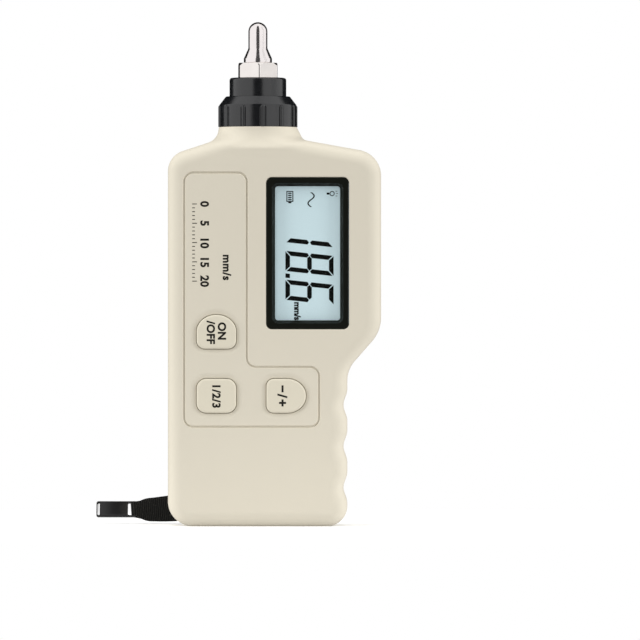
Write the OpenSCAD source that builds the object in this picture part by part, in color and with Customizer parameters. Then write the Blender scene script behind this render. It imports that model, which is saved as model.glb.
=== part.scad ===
// Handheld vibration meter: two moulded shells with a head wider than the grip,
// three keys and a liquid crystal display in front, a battery door behind,
// and a spring loaded sensor probe that stands on the neck.
// It stands on its base, the display looks along -Y and the probe points up.

/* [Case] */
// Width of the head
head_w = 67; // [65:0.5:70]
// Width of the grip
grip_w = 56.4; // [55:0.2:58]
// Depth of the case
case_d = 30; // [29.5:0.5:33]
// Height at which the head begins to widen
grip_h = 49.2; // [48:0.2:51]
// Height that the widening takes
flare_h = 12.1; // [11:0.1:14]
// Height of the head, from the widening up to the collar
head_h = 64.3; // [63:0.1:69]
// Radius of the neck
neck_r = 12.3; // [12:0.1:13]
// Wall of both shells
wall = 2; // [1.8:0.1:2.2]
// Rounding of the long edges
edge_r = 4.5; // [4.2:0.1:5]
// Pitch of the finger hollows
finger_pitch = 13; // [12:0.1:13.5]
// Depth of the finger hollows
finger_depth = 1.5; // [1:0.1:1.8]

/* [Display] */
// Width of the black surround
bezel_w = 25.8; // [24:0.1:27]
// Distance of the surround's top below the collar
bezel_drop = 16.1; // [15:0.1:17]
// Distance of the surround's lower edge above the widening
bezel_lift = 0.7; // [0.3:0.1:2]
// Distance of the surround from the side of the head
bezel_margin = 10.2; // [9:0.1:11]
// Width of the border round the glass
bezel_border = 2.7; // [2.3:0.1:3]

/* [Keys] */
// Width of the keys
key_w = 12.4; // [11.5:0.1:13]
// Height of the keys
key_h = 10.7; // [10:0.1:11.2]
// Height of the lower two keys above the base
key_row_z = 41; // [40:0.1:42]
// Height of the measuring key above the base
measure_z = 61.1; // [60:0.1:63]
// Distance of the left keys from the side of the head
key_margin = 15.3; // [15:0.1:16]
// Distance between the lower two keys
key_pitch = 21.9; // [21:0.1:23]
// How far a key stands proud of the case
key_rise = 0.5; // [0.4:0.05:0.6]
// Travel of a key
key_travel = 0.5; // [0.3:0.05:0.5]

/* [Probe] */
// Outer diameter of the ribbed collar
collar_d = 25.2; // [24.6:0.1:26]
// Height of the collar
collar_h = 9.7; // [9:0.1:11]
// Number of ribs on the collar
collar_ribs = 12; // [10:1:14]
// Diameter of the sleeve
sleeve_d = 17.9; // [17.5:0.1:18.2]
// Height of the sleeve above the collar
sleeve_h = 5.9; // [5:0.1:7]
// Width across the flats of the hexagon
hex_af = 12; // [11.6:0.1:12.6]
// Height of the hexagon
hex_h = 4.7; // [4:0.1:6]
// Diameter of the tip
tip_d = 6; // [5.6:0.1:6.4]
// Height of the tip above the hexagon
tip_h = 12.9; // [12:0.1:18]
// Diameter of the stud under the tip
stud_d = 5; // [4:0.1:5.2]

/* [Battery] */
// Width of the battery
battery_w = 26.5; // [26:0.1:26.6]
// Thickness of the battery
battery_t = 17.5; // [17:0.1:17.5]
// Height of the battery without its terminals
battery_h = 46.4; // [46:0.1:47]
// Width of the battery door
door_w = 34; // [33.6:0.1:35]
// Height of the battery door
door_h = 66; // [65:0.5:68]
// Travel of the door before it lifts off
door_travel = 8; // [7:0.1:8.5]

/* [Board] */
// Thickness of the circuit board
board_t = 1.6; // [1.4:0.1:1.6]
// Side of a key switch
switch_w = 6; // [5.8:0.1:6.4]

/* [Strap] */
// Width of the webbing
web_w = 8.2; // [8:0.1:8.6]
// Thickness of one layer of webbing
web_t = 0.9; // [0.8:0.05:1]
// Diameter of the strap pin
strap_pin_d = 2; // [1.8:0.1:2.1]

/* [Fasteners] */
// Diameter of the case screws
screw_d = 2.2; // [2:0.1:2.4]
// Diameter of the board screws
board_screw_d = 1.8; // [1.6:0.1:2]

/* [Hidden] */
cut = 1;              // overrun of every cut
fit = 0.05;           // radial clearance of shafts and studs
seat = 0.1;           // clearance of pieces laid into a recess
case_colour = [0.87, 0.84, 0.75];
key_colour = [0.85, 0.83, 0.74];
black = [0.1, 0.1, 0.11];
steel = [0.78, 0.78, 0.79];

// Case outline, walked against the clock from the left of the neck.
half_d = case_d/2;
case_h = grip_h + flare_h + head_h;
left_x = -head_w/2;
right_x = head_w/2;
grip_x = left_x + grip_w;
probe_x = left_x + grip_w/2;
neck_h = 4.2;
neck_spread = [0.7, 2.1];
shoulder_drop = [5, 4.4];
neck_root_r = [4.7, 2.6];
head_top_r = [6.6, 8.2];
head_low_r = 11.4;
grip_top_r = 9.3;
base_r = [7.8, 6.3];
finger_drop = 11.1;   // distance of the top hollow below the widening
finger_half = 4.2;
finger_r = 5;
finger_count = 3;
finger_first = grip_h - finger_drop - finger_pitch*(finger_count-1);
least_r = 0.3;        // smallest fillet left when the outline shrinks
neck_flat = 0.8;      // half width of the flat that runs up the neck
seam_share = 0.05;    // share of the edge rounding lost at the parting line
seam_h = 0.3;         // height of that bevel
neck_blend_share = 0.7;
arc_steps = 5;
edge_steps = 5;
neck_n = arc_steps + 1;
shoulder_z = case_h - neck_h;

fingers = [for (i = [0:finger_count-1]) let (z = finger_first + finger_pitch*i)
  each [[grip_x, z-finger_half, finger_r], [grip_x-finger_depth, z, finger_r],
        [grip_x, z+finger_half, finger_r]]];

case_path = concat(
  [[probe_x-neck_r, case_h, 0],
   [probe_x-neck_r-neck_spread[0], shoulder_z, neck_root_r[0]],
   [left_x, shoulder_z-shoulder_drop[0], head_top_r[0]],
   [left_x, 0, base_r[0]],
   [grip_x, 0, base_r[1]]],
  fingers,
  [[grip_x, grip_h, grip_top_r],
   [right_x, grip_h+flare_h, head_low_r],
   [right_x, shoulder_z-shoulder_drop[1], head_top_r[1]],
   [probe_x+neck_r+neck_spread[1], shoulder_z, neck_root_r[1]],
   [probe_x+neck_r, case_h, 0]]);

function unit(v) = v/norm(v);
function heading(a, b) = unit([b[0]-a[0], b[1]-a[1]]);
function right_of(d) = [d[1], -d[0]];
function turn_of(n1, n2) = n1[0]*n2[1]-n1[1]*n2[0] > 0 ? 1 : -1;
function half_turn(n1, n2) = acos(min(1, max(-1, n1*n2)))/2;
function smooth(t) = let (c = min(1, max(0, t))) c*c*(3-2*c);

// A corner moved inwards by d along both of its sides.
function inset_corner(p, c, n, d) = let (
    n1 = right_of(heading(p, c)), n2 = right_of(heading(c, n)), shift = (n1+n2)/(1+n1*n2))
  [c[0]-d*shift[0], c[1]-d*shift[1], turn_of(n1, n2) > 0 ? max(c[2]-d, least_r) : c[2]+d];
function inset_path(path, d) = let (last = len(path)-1) concat(
  [[probe_x-neck_r+d, case_h-d, 0]],
  [for (i = [1:last-1]) inset_corner(path[i-1], path[i], path[i+1], d)],
  [[probe_x+neck_r-d, case_h-d, 0]]);
function inset_loop(loop, d) = let (n = len(loop))
  [for (i = [0:n-1]) inset_corner(loop[(i+n-1)%n], loop[i], loop[(i+1)%n], d)];

// The arc that rounds corner c between p and n.
function fillet(p, c, n, steps) = let (
    d1 = heading(p, c), n1 = right_of(d1), n2 = right_of(heading(c, n)),
    turn = turn_of(n1, n2), half = half_turn(n1, n2),
    centre = [c[0], c[1]] - c[2]*tan(half)*d1 - turn*c[2]*n1)
  [for (k = [0:steps]) let (a = turn*2*half*k/steps)
    centre + turn*c[2]*[n1[0]*cos(a)-n1[1]*sin(a), n1[0]*sin(a)+n1[1]*cos(a)]];
function round_path(path) =
  [for (i = [1:len(path)-2]) each fillet(path[i-1], path[i], path[i+1], arc_steps)];
function round_loop(loop) = let (n = len(loop))
  [for (i = [0:n-1]) each fillet(loop[(i+n-1)%n], loop[i], loop[(i+1)%n], arc_steps)];
function case_outline(d) = let (path = inset_path(case_path, d), last = path[len(path)-1])
  concat([[path[0][0], path[0][1]]], round_path(path), [[last[0], last[1]]]);

function bezier(a, b, c, d, t) =
  a*pow(1-t, 3) + 3*b*t*pow(1-t, 2) + 3*c*t*t*(1-t) + d*pow(t, 3);

// Half of the case without its wall, d inside the outer skin. Rings of points climb from the
// parting plane round the edge to the flat face, which narrows to a ridge on the round neck.
arch_share = 0.62;
arch_drop_share = 1.5;
module case_half(d, low_y) {
  s = case_outline(d);
  face = case_outline(edge_r);
  n = len(s);
  top_z = case_h - d;
  arch_z = case_h - arch_drop_share*neck_h;
  function near(i) = min(1, min(i, n-1-i)/neck_n);
  function arch(side, end, t) = let (foot = [probe_x+side*neck_flat, top_z])
    bezier(foot, [foot[0], arch_z], [foot[0]+(end[0]-foot[0])*arch_share, arch_z], end, t);
  function flat(i) = i <= neck_n ? arch(-1, face[neck_n], i/neck_n)
    : i >= n-1-neck_n ? arch(1, face[n-1-neck_n], (n-1-i)/neck_n) : face[i];
  function depth(i) = (neck_r + (half_d-neck_r)*smooth(near(i)/neck_blend_share)) - d;
  function straight(i) = 2*seam_h + (half_d-edge_r-2*seam_h)*smooth(near(i));
  start = low_y == 0 ? 2 : 1;    // the bevel at the parting line takes one ring more
  function ring(j) = [for (i = [0:n-1]) let (f = flat(i), h = straight(i),
      a = 90*max(0, j-start)/edge_steps, share = j == 0 && low_y == 0 ? seam_share : 1-cos(a))
    [s[i][0]+(f[0]-s[i][0])*share,
     j == 0 ? low_y : j < start ? -seam_h : -(h+(depth(i)-h)*sin(a)),
     s[i][1]+(f[1]-s[i][1])*share]];
  top = edge_steps + start;
  // The rounded rim and the neck, open inside the flat face, which a plain plate then fills.
  first = neck_n;
  last = n - 1 - neck_n;
  walls = (top+1)*n;
  function inside(i) = walls + i - first;
  function at(j, i) = j*n + i;
  polyhedron(concat([for (j = [0:top]) each ring(j)],
      [for (i = [first:last]) let (f = flat(i)) [f[0], low_y, f[1]]]), concat(
    [for (j = [0:top-1], i = [0:n-2]) each
      [[at(j, i), at(j+1, i+1), at(j, i+1)], [at(j, i), at(j+1, i), at(j+1, i+1)]]],
    [for (i = [0:first-1]) each
      [[at(top, i), at(top, n-2-i), at(top, i+1)], [at(top, i), at(top, n-1-i), at(top, n-2-i)]]],
    [for (i = [first:last-1]) each
      [[at(top, i), inside(i), at(top, i+1)], [at(top, i+1), inside(i), inside(i+1)],
       [at(0, i), at(0, i+1), inside(i)], [at(0, i+1), inside(i+1), inside(i)]]],
    [[at(top, last), inside(last), inside(first), at(top, first)]],
    [concat([for (j = [0:top]) at(j, n-1)], [for (j = [top:-1:0]) at(j, 0)])],
    [concat([for (i = [0:first]) at(0, i)], [inside(first), inside(last)],
      [for (i = [last:n-1]) at(0, i)])]), convexity = 6);
  slab(d-half_d, low_y) polygon([for (i = [first:last]) flat(i)]);
}

// A flat shape in X and Z, given its thickness between two depths.
module slab(y0, y1) translate([0, y1, 0]) rotate([90, 0, 0]) linear_extrude(y1-y0) children();
// A round bar or bore along Y.
module along_y(x, z, r, y0, y1) translate([x, y0, z]) rotate([-90, 0, 0])
  cylinder(r = r, h = y1-y0, $fn = 48);
// A round bar or bore on the probe's axis.
module on_axis(r, z0, z1) translate([probe_x, 0, z0]) cylinder(r = r, h = z1-z0, $fn = 96);
module axis_ring(r_in, r_out, z0, z1) difference() {
  on_axis(r_out, z0, z1);
  on_axis(r_in, z0-cut, z1+cut);
}
module block(x0, x1, y0, y1, z0, z1) translate([x0, y0, z0]) cube([x1-x0, y1-y0, z1-z0]);
// Rings of points skinned into one closed solid.
module skin(rings) {
  n = len(rings[0]);
  m = len(rings);
  polyhedron([for (r = rings) each r], concat(
    [[for (i = [0:n-1]) i]],
    [for (j = [0:m-2], i = [0:n-1]) let (k = (i+1)%n) each
      [[j*n+i, (j+1)*n+i, (j+1)*n+k], [j*n+i, (j+1)*n+k, j*n+k]]],
    [[for (i = [n-1:-1:0]) (m-1)*n+i]]), convexity = 4);
}
function at_depth(outline, y) = [for (p = outline) [p[0], y, p[1]]];
function box_loop(x0, x1, z0, z1, r) = [[x0, z1, r], [x0, z0, r], [x1, z0, r], [x1, z1, r]];

// Depths of the stack behind the front wall.
front_y = -half_d;
inner_y = front_y + wall;
flange_t = 0.7;
board_depth = 6.9;    // from the face of the case to the board
board_y = front_y + board_depth;
board_back = board_y + board_t;

// Display, from the surround back to the board.
bezel_x1 = right_x - bezel_margin;
bezel_x0 = bezel_x1 - bezel_w;
bezel_z = grip_h + flare_h + bezel_lift;
bezel_z1 = case_h - bezel_drop;
bezel_r = 1.7;
glass_r = 0.9;
bezel_slope = 0.9;
bezel_flange = 1.2;
window_rim = 1;
window_t = 1;
slope_depth = 1.4;
glass_t = 1.1;
glass_y = inner_y + flange_t;
glass_gap = 0.05;
ledge_w = 2.3;
strip_w = 1.6;
light_y0 = glass_y + 2*glass_t + 2*glass_gap;

// Groove round the printed names and the keys.
groove_w = 0.6;
groove_depth = 0.4;
groove_r = 2.9;
groove_side = [5.1, 8.8];   // from the left and the right side of the grip
groove_over = 1.6;    // above the surround
groove_beside = 6.1;  // left of the surround
groove_keys = [9.8, 9.1];    // below and above the lower keys
groove_left = left_x + groove_side[0];
groove_top = bezel_z1 + groove_over;
groove_notch = [bezel_x0-groove_beside, key_row_z+groove_keys[1]];
groove_right = grip_x - groove_side[1];
groove_low = key_row_z - groove_keys[0];

// Keys.
measure_x = left_x + key_margin;
range_x = measure_x + key_pitch;
key_dome = [5.35, 5.9];
key_low_r = [2.6, 2.3];
mode_r = 3;
key_gap = 0.15;
halo_w = 1.6;
halo_depth = 0.3;
key_flange = 0.9;
crown_in = [0.5, 0.15, 0];
crown_y = [0, 0.15, 0.4];
post_r = 2;
plunger_r = 1.75;
post_h = 1.1;         // from the inside of the wall to the plunger
plunger_y = inner_y + post_h;
switch_h = 3.1;
switch_y = board_y - switch_h;
switch_floor = 0.5;
switch_spare = 0.4;   // room left under a plunger that is pressed home
plunger_h = board_y - switch_floor - switch_spare - key_travel - plunger_y;
dome_step = 15;

// Probe.
collar_z1 = case_h + collar_h;
collar_bevel = [2.5, 2.7];
rib_r = 0.62;
rib_rise = 0.4;
rib_turn = 8;
sleeve_r = sleeve_d/2;
sleeve_z1 = collar_z1 + sleeve_h;
sleeve_sunk = 13.6;   // reach of the sleeve into the case
sleeve_z0 = case_h - sleeve_sunk;
sleeve_edge = 0.8;
sleeve_flange_t = 2;
sleeve_flange_r = neck_r - wall - 2*seat;
sleeve_lip = 1.2;
sleeve_wall = 1.35;
hex_z1 = sleeve_z1 + hex_h;
hex_r = hex_af/2/cos(30);
hex_turn = 4.5;
hex_bevel = [0.8, 0.9];
can_r = 6.9;
can_wall = 1.2;
can_lift = 2;         // above the sleeve's end
can_drop = 5.2;       // below the sleeve's top
can_z0 = sleeve_z0 + can_lift;
can_z1 = sleeve_z1 - can_drop;
stud_len = 5.4;
sensor_post_r = 2;
post_len = 12;
disc_t = 1.2;
shim_t = 0.2;
disc_r = 4.6;
mass_r = 5.2;
mass_h = 6.2;
nut_af = 7;
nut_h = 2.3;
ring_r = 0.33;
ring_in = 3;
cable_r = 0.8;
tip_flange_r = 4.45;
tip_flange_h = 1.4;
tip_cone_h = 3.2;

// Battery compartment, centred behind the probe's axis.
cavity_gap = 0.3;
box_wall = 1.2;
door_gap = 0.15;
cavity_z0 = 4.5;
foam_t = 1.8;
box_gap = 0.1;        // between the battery box and the board
snap_room = 9.1;      // above the battery, for its snap and leads
cavity_x = battery_w/2 + cavity_gap;
cavity_y0 = board_back + box_gap + box_wall;
cavity_z1 = cavity_z0 + battery_h + snap_room;
door_x = door_w/2;
rail_w = 2.2;
rail_h = 3.5;
hook_w = 1.15;
hook_t = 1.45;
hook_len = 5;
hook_ends = [14, 16]; // from the ends of the door
hook_z = [hook_ends[0], door_h-hook_ends[1]];
lip_w = 6;
lip_t = 1.1;
lip_len = 1.6;
block_z0 = 1;
block_front_z0 = wall + cavity_gap;
block_z1 = door_h + wall;
back_y = half_d;
back_inner = half_d - wall;
terminal_r = 2.9;
terminal_h = 2.1;
terminal_x = 6.35;
battery_r = 2;
battery_z0 = cavity_z0 + foam_t + seat;
battery_y0 = cavity_y0 + seat;
battery_y1 = battery_y0 + battery_t;
snap_t = 2.2;
snap_w = 25;
snap_d = 12;
snap_wall = 1.2;
snap_grip = 1.7;      // reach of its cups over the terminals
lead_r = 0.6;
grip_ridges = 5;
ridge_r = 0.5;
ridge_pitch = 2;
ridge_half = 7;
lead_hole = 3;

// Screws: case screws go through the rear shell into the front one.
boss_r = 2.8;
rear_boss_r = 3.2;
sink_r = 2.4;
screw_head_r = 2.1;
screw_head_h = 1.8;
ledge_y = 4;
screw_reach = 8;
screw_edge = 6;       // from the side of the case
screw_low_z = 20;
screw_drop = 16;      // below the collar
slot_w = 0.7;
screw_places = [[left_x+screw_edge, screw_low_z], [grip_x-screw_edge, screw_low_z],
                [left_x+screw_edge, case_h-screw_drop], [right_x-screw_edge, case_h-screw_drop]];
board_post_r = 2.2;
board_head_r = 1.8;
board_head_h = 1.2;
board_reach = 3.6;
board_low_z = [46, 34];
board_drop = [29.6, 41.6];   // below the collar
board_places = [[left_x+screw_edge, board_low_z[0]], [grip_x-screw_edge, board_low_z[1]],
                [left_x+screw_edge, case_h-board_drop[0]], [right_x-screw_edge, case_h-board_drop[1]]];
tongue_h = 1.2;
tongue_share = 0.5;
tongue_gap = 0.12;

// Strap, from its pin in the rear shell to the slider.
pocket_edge = 4;
pocket_w = 8;
pocket_x = [left_x+pocket_edge, left_x+pocket_edge+pocket_w];
pocket_z = [2.7, 11.9];
pocket_y = 9.5;
pocket_wall = 1.5;
pin_x = pocket_x[0] + pocket_w/2;
pin_y = 12.6;
pin_z = [1.8, 13.4];
pin_r = strap_pin_d/2;
bar_r = 0.6;
slider_l = 12.2;
slider_w = 9.6;
slider_t = 1.5;
slider_rail = 0.7;
slider_slot = 1.3;
slider_turn = 54;
slider_curve = 6.5;
strap_route = [[-25.5, 12.6, 7.3], [-27.5, 15.6, 7.1], [-30.5, 18, 6.7], [-34, 19, 6.2],
               [-38, 19, 5.8], [-41, 18.8, 5.6], [-44.3, 18.5, 5.5]];
strap_twist = [0, 0, 4, 14, 30, 44, 54];
sensor_route = [[-5.3, 0, 114], [-5.3, 0, 111.5], [-5.6, -0.6, 109.5], [-6.6, -1.8, 107.5],
                [-8, -3.2, 105.8], [-9.2, -4.5, 104.6], [-9.8, -5.5, 104], [-9.8, -6.5, 104]];
lead_route = [[0, 7, 57.2], [0, 7, 60.5], [0, 6.4, 62.6], [0, 4.6, 64.4], [0, 1.6, 66],
              [0, -1.6, 67.6], [0, -3.8, 69], [0, -5.3, 69.6], [0, -6.5, 69.6]];

// Outlines of the keys about their own centres, grown by g.
function corner_arc(x, z, r, from) =
  [for (a = [from:dome_step:from+90]) [x+r*cos(a), z+r*sin(a)]];
function domed(w, h, dome, r, g) = concat(
  [for (a = [0:dome_step:180]) [(w/2+g)*cos(a), h/2-dome+(dome+g)*sin(a)]],
  corner_arc(-w/2+r, -h/2+r, r+g, 180), corner_arc(w/2-r, -h/2+r, r+g, 270));
function turned(outline) = [for (p = outline) [p[1], -p[0]]];
function shifted(outline, x, z) = [for (p = outline) [p[0]+x, p[1]+z]];
function measure_outline(g) =
  shifted(domed(key_w, key_h, key_dome[0], key_low_r[0], g), measure_x, measure_z);
function range_outline(g) =
  shifted(turned(domed(key_h, key_w, key_dome[1], key_low_r[1], g)), range_x, key_row_z);
function mode_outline(g) = let (x = key_w/2-mode_r, z = key_h/2-mode_r, r = mode_r+g)
  shifted(concat(corner_arc(x, z, r, 0), corner_arc(-x, z, r, 90),
    corner_arc(-x, -z, r, 180), corner_arc(x, -z, r, 270)), measure_x, key_row_z);

module key_solid(outlines, flange, x, z) {
  last = len(crown_y) - 1;
  skin(concat([at_depth(outlines[last], inner_y+fit)],
    [for (i = [last:-1:0]) at_depth(outlines[i], front_y-key_rise+crown_y[i])]));
  slab(inner_y+fit, inner_y+flange_t) polygon(flange);
  along_y(x, z, post_r, inner_y+flange_t/2, plunger_y-fit);
}
module measure_key() color(key_colour) key_solid(
  [for (d = crown_in) measure_outline(-d)], measure_outline(key_flange), measure_x, measure_z);
module mode_key() color(key_colour) key_solid(
  [for (d = crown_in) mode_outline(-d)], mode_outline(key_flange), measure_x, key_row_z);
module range_key() color(key_colour) key_solid(
  [for (d = crown_in) range_outline(-d)], range_outline(key_flange), range_x, key_row_z);

module key_cuts() {
  for (grow = [[key_gap, front_y-key_rise-cut, inner_y+cut], [halo_w, front_y-cut, front_y+halo_depth]])
    slab(grow[1], grow[2]) {
      polygon(measure_outline(grow[0]));
      polygon(mode_outline(grow[0]));
      polygon(range_outline(grow[0]));
    }
}

// The stepped groove, as the ring between two offsets of one loop.
groove_loop = [
  [groove_left, groove_top, groove_r], [groove_left, groove_low, groove_r],
  [groove_right, groove_low, groove_r], [groove_right, groove_notch[1], groove_r],
  [groove_notch[0], groove_notch[1], groove_r], [groove_notch[0], groove_top, groove_r]];
module groove() slab(front_y-cut, front_y+groove_depth) difference() {
  polygon(round_loop(inset_loop(groove_loop, -groove_w/2)));
  polygon(round_loop(inset_loop(groove_loop, groove_w/2)));
}

bezel_loop = box_loop(bezel_x0, bezel_x1, bezel_z, bezel_z1, bezel_r);
glass_loop = box_loop(bezel_x0+bezel_border, bezel_x1-bezel_border,
  bezel_z+bezel_border, bezel_z1-bezel_border, glass_r);

// The lap joint of the shells: a tongue on the front one, a rebate in the rear one.
module wall_ring(outer, inner, y0, y1) slab(y0, y1) difference() {
  intersection() {
    polygon(case_outline(outer));
    translate([left_x, 0]) square([head_w, shoulder_z-head_top_r[1]]);
  }
  polygon(case_outline(inner));
}

module front_shell() color(case_colour) {
  difference() {
    union() {
      difference() {
        case_half(0, 0);
        case_half(wall, cut);
      }
      wall_ring(wall*tongue_share, wall, -wall, tongue_h);
      for (p = screw_places) along_y(p[0], p[1], boss_r, inner_y-wall/2, 0);
      for (p = board_places) along_y(p[0], p[1], board_post_r, inner_y-wall/2, board_y);
    }
    key_cuts();
    groove();
    slab(front_y-cut, inner_y+cut) polygon(round_loop(inset_loop(bezel_loop, -seat)));
    on_axis(sleeve_r+seat, case_h-wall-cut, case_h+cut);
    for (p = screw_places) along_y(p[0], p[1], screw_d/2+fit, -screw_reach-cut, cut);
    for (p = board_places) along_y(p[0], p[1], board_screw_d/2+fit, board_y-board_reach, board_y+cut);
  }
}

// Battery box, door rails and strap anchor, which the rear shell's cavity leaves standing.
block_x = door_x + door_gap + rail_w;
module rear_blocks() {
  block(probe_x-block_x, probe_x+block_x, 0, back_y, block_z0, block_z1);
  block(pocket_x[0]-pocket_wall, pocket_x[1]+pocket_wall, pocket_y-pocket_wall, back_y,
    block_z0, pin_z[1]+seat);
  for (p = screw_places) along_y(p[0], p[1], rear_boss_r, 0, back_y);
}
module door_slots() {
  for (side = [-1, 1], z = hook_z) {
    x0 = probe_x + side*(door_x-hook_w);
    x1 = probe_x + side*(door_x+hook_w+door_gap);
    low = z-door_travel-2*door_gap;
    block(min(x0, x1), max(x0, x1), back_inner-hook_t-2*door_gap, back_inner+door_gap,
      low, z+hook_len+2*door_gap);
    block(min(x0, x1), max(x0, x1), back_inner, back_y+cut, low, low+hook_len+4*door_gap);
  }
}
module rear_shell() color(case_colour) {
  relief_x = [cavity_x+box_wall, block_x-box_wall];
  difference() {
    union() {
      difference() {
        mirror([0, 1, 0]) case_half(0, 0);
        difference() {
          mirror([0, 1, 0]) case_half(wall, cut);
          rear_blocks();
        }
      }
      block(probe_x-cavity_x-box_wall, probe_x+cavity_x+box_wall, cavity_y0-box_wall, wall,
        block_front_z0, block_z1);
    }
    wall_ring(wall*tongue_share-tongue_gap, wall+tongue_gap, -tongue_h, tongue_h+tongue_gap);
    block(probe_x-cavity_x, probe_x+cavity_x, cavity_y0, back_y+cut, cavity_z0, cavity_z1);
    block(probe_x-door_x-door_gap, probe_x+door_x+door_gap, back_inner, back_y+cut,
      -cut, door_h+door_gap);
    for (side = [-1, 1]) translate([probe_x+side*(relief_x[0]+relief_x[1])/2, 0, 0])
      block((relief_x[0]-relief_x[1])/2, (relief_x[1]-relief_x[0])/2, cavity_y0-box_wall-cut,
        back_inner-rail_h, block_front_z0+box_wall, block_z1-box_wall);
    block(probe_x-cavity_x, probe_x+cavity_x, cavity_y0-box_wall-cut, back_inner-rail_h,
      cavity_z1+box_wall, block_z1+cut);
    block(probe_x-lip_w-door_gap, probe_x+lip_w+door_gap, back_inner-lip_t-2*door_gap,
      back_inner+door_gap, cavity_z1-cut, door_h+lip_len+2*door_gap);
    translate([probe_x, lead_route[0][1], 0]) block(-lead_hole, lead_hole, -lead_hole/2, lead_hole/2,
      cavity_z1-cut, cavity_z1+box_wall+cut);
    door_slots();
    block(pocket_x[0], pocket_x[1], pocket_y, back_y+cut, pocket_z[0], pocket_z[1]);
    translate([pin_x, pin_y, pin_z[0]-seat]) cylinder(r = pin_r+fit, h = pin_z[1]-pin_z[0]+seat, $fn = 48);
    on_axis(sleeve_r+seat, case_h-wall-cut, case_h+cut);
    for (p = screw_places) {
      along_y(p[0], p[1], screw_d/2+seat, -screw_reach-cut, back_y);
      along_y(p[0], p[1], sink_r, ledge_y, back_y+cut);
    }
  }
}

module battery_door() color(case_colour) difference() {
  union() {
    intersection() {
      mirror([0, 1, 0]) case_half(0, 0);
      block(probe_x-door_x, probe_x+door_x, back_inner, back_y+cut, 0, door_h);
    }
    for (side = [-1, 1], z = hook_z) {
      x0 = probe_x + side*(door_x-hook_w+door_gap);
      x1 = probe_x + side*(door_x+hook_w);
      xm = probe_x + side*door_x;
      block(min(x0, x1), max(x0, x1), back_inner-hook_t, back_inner-door_gap, z, z+hook_len);
      block(min(x0, xm), max(x0, xm), back_inner-hook_t, back_inner, z, z+hook_len);
    }
    block(probe_x-lip_w, probe_x+lip_w, back_inner-lip_t, back_inner-door_gap,
      door_h-wall, door_h+lip_len);
    block(probe_x-lip_w, probe_x+lip_w, back_inner-lip_t, back_inner, door_h-wall, door_h);
  }
  for (i = [0:grip_ridges-1])
    translate([probe_x-ridge_half, back_y, door_h-3*ridge_pitch-ridge_pitch*i]) rotate([0, 90, 0])
      cylinder(r = ridge_r, h = 2*ridge_half, $fn = 24);
}

module case_screws() color(steel) for (p = screw_places) difference() {
  union() {
    along_y(p[0], p[1], screw_d/2, -screw_reach, ledge_y+screw_head_h/2);
    along_y(p[0], p[1], screw_head_r, ledge_y, ledge_y+screw_head_h);
  }
  for (turn = [0, 90]) translate([p[0], ledge_y+screw_head_h, p[1]]) rotate([0, turn, 0])
    cube([2*screw_head_r, screw_head_h, slot_w], center = true);
}

module display_bezel() color(black) difference() {
  union() {
    slab(front_y, inner_y+flange_t/2) polygon(round_loop(bezel_loop));
    slab(inner_y+fit, inner_y+flange_t-fit) polygon(round_loop(inset_loop(bezel_loop, -bezel_flange)));
  }
  skin([at_depth(round_loop(glass_loop), front_y+slope_depth),
    at_depth(round_loop(inset_loop(glass_loop, -bezel_slope*(1+cut/slope_depth))), front_y-cut)]);
  slab(front_y+slope_depth-fit, inner_y+flange_t+cut) polygon(round_loop(glass_loop));
  slab(front_y+slope_depth, inner_y+flange_t+cut)
    polygon(round_loop(inset_loop(glass_loop, -window_rim-seat)));
}
module display_window() color([0.8, 0.9, 0.95, 0.3])
  slab(front_y+slope_depth, front_y+slope_depth+window_t)
    polygon(round_loop(inset_loop(glass_loop, -window_rim)));
module lcd_glass() color([0.77, 0.86, 0.88]) {
  slab(glass_y, glass_y+glass_t) polygon(round_loop(box_loop(glass_loop[0][0]-window_rim,
    glass_loop[2][0]+window_rim+ledge_w, glass_loop[1][1]-window_rim, glass_loop[0][1]+window_rim,
    least_r)));
  slab(glass_y+glass_t+glass_gap, glass_y+2*glass_t+glass_gap)
    polygon(round_loop(inset_loop(glass_loop, -window_rim)));
}
module lcd_backlight() color("white") slab(light_y0, board_y-fit)
  polygon(round_loop(inset_loop(glass_loop, -window_rim)));
module contact_strip() color([0.9, 0.6, 0.7]) {
  x0 = glass_loop[2][0] + window_rim + (ledge_w-strip_w)/2;
  block(x0, x0+strip_w, glass_y+glass_t+glass_gap, board_y-fit, glass_loop[1][1], glass_loop[0][1]);
}

// Circuit board, cut to the inside of the case.
board_gap = 0.8;
board_low = 30;
board_top_drop = 11.6;
notch_gap = [1.7, 4];        // beside and below the sleeve
board_z = [board_low, case_h-board_top_drop];
board_notch = [sleeve_r+notch_gap[0], sleeve_z0-notch_gap[1]];
module main_board() color([0.1, 0.4, 0.2]) difference() {
  slab(board_y, board_back) intersection() {
    polygon(case_outline(wall+board_gap));
    translate([left_x, board_z[0]]) square([head_w, board_z[1]-board_z[0]]);
  }
  block(probe_x-board_notch[0], probe_x+board_notch[0], board_y-cut, board_back+cut,
    board_notch[1], case_h);
  for (p = screw_places) along_y(p[0], p[1], boss_r+seat, board_y-cut, board_back+cut);
  for (p = board_places) along_y(p[0], p[1], board_screw_d/2+seat, board_y-cut, board_back+cut);
}
module board_screws() color(steel) for (p = board_places) difference() {
  union() {
    along_y(p[0], p[1], board_screw_d/2, board_y-board_reach+seat, board_back+board_head_h/2);
    along_y(p[0], p[1], board_head_r, board_back, board_back+board_head_h);
  }
  for (turn = [0, 90]) translate([p[0], board_back+board_head_h, p[1]]) rotate([0, turn, 0])
    cube([1.5*board_head_r, board_head_h, slot_w], center = true);
}

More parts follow.
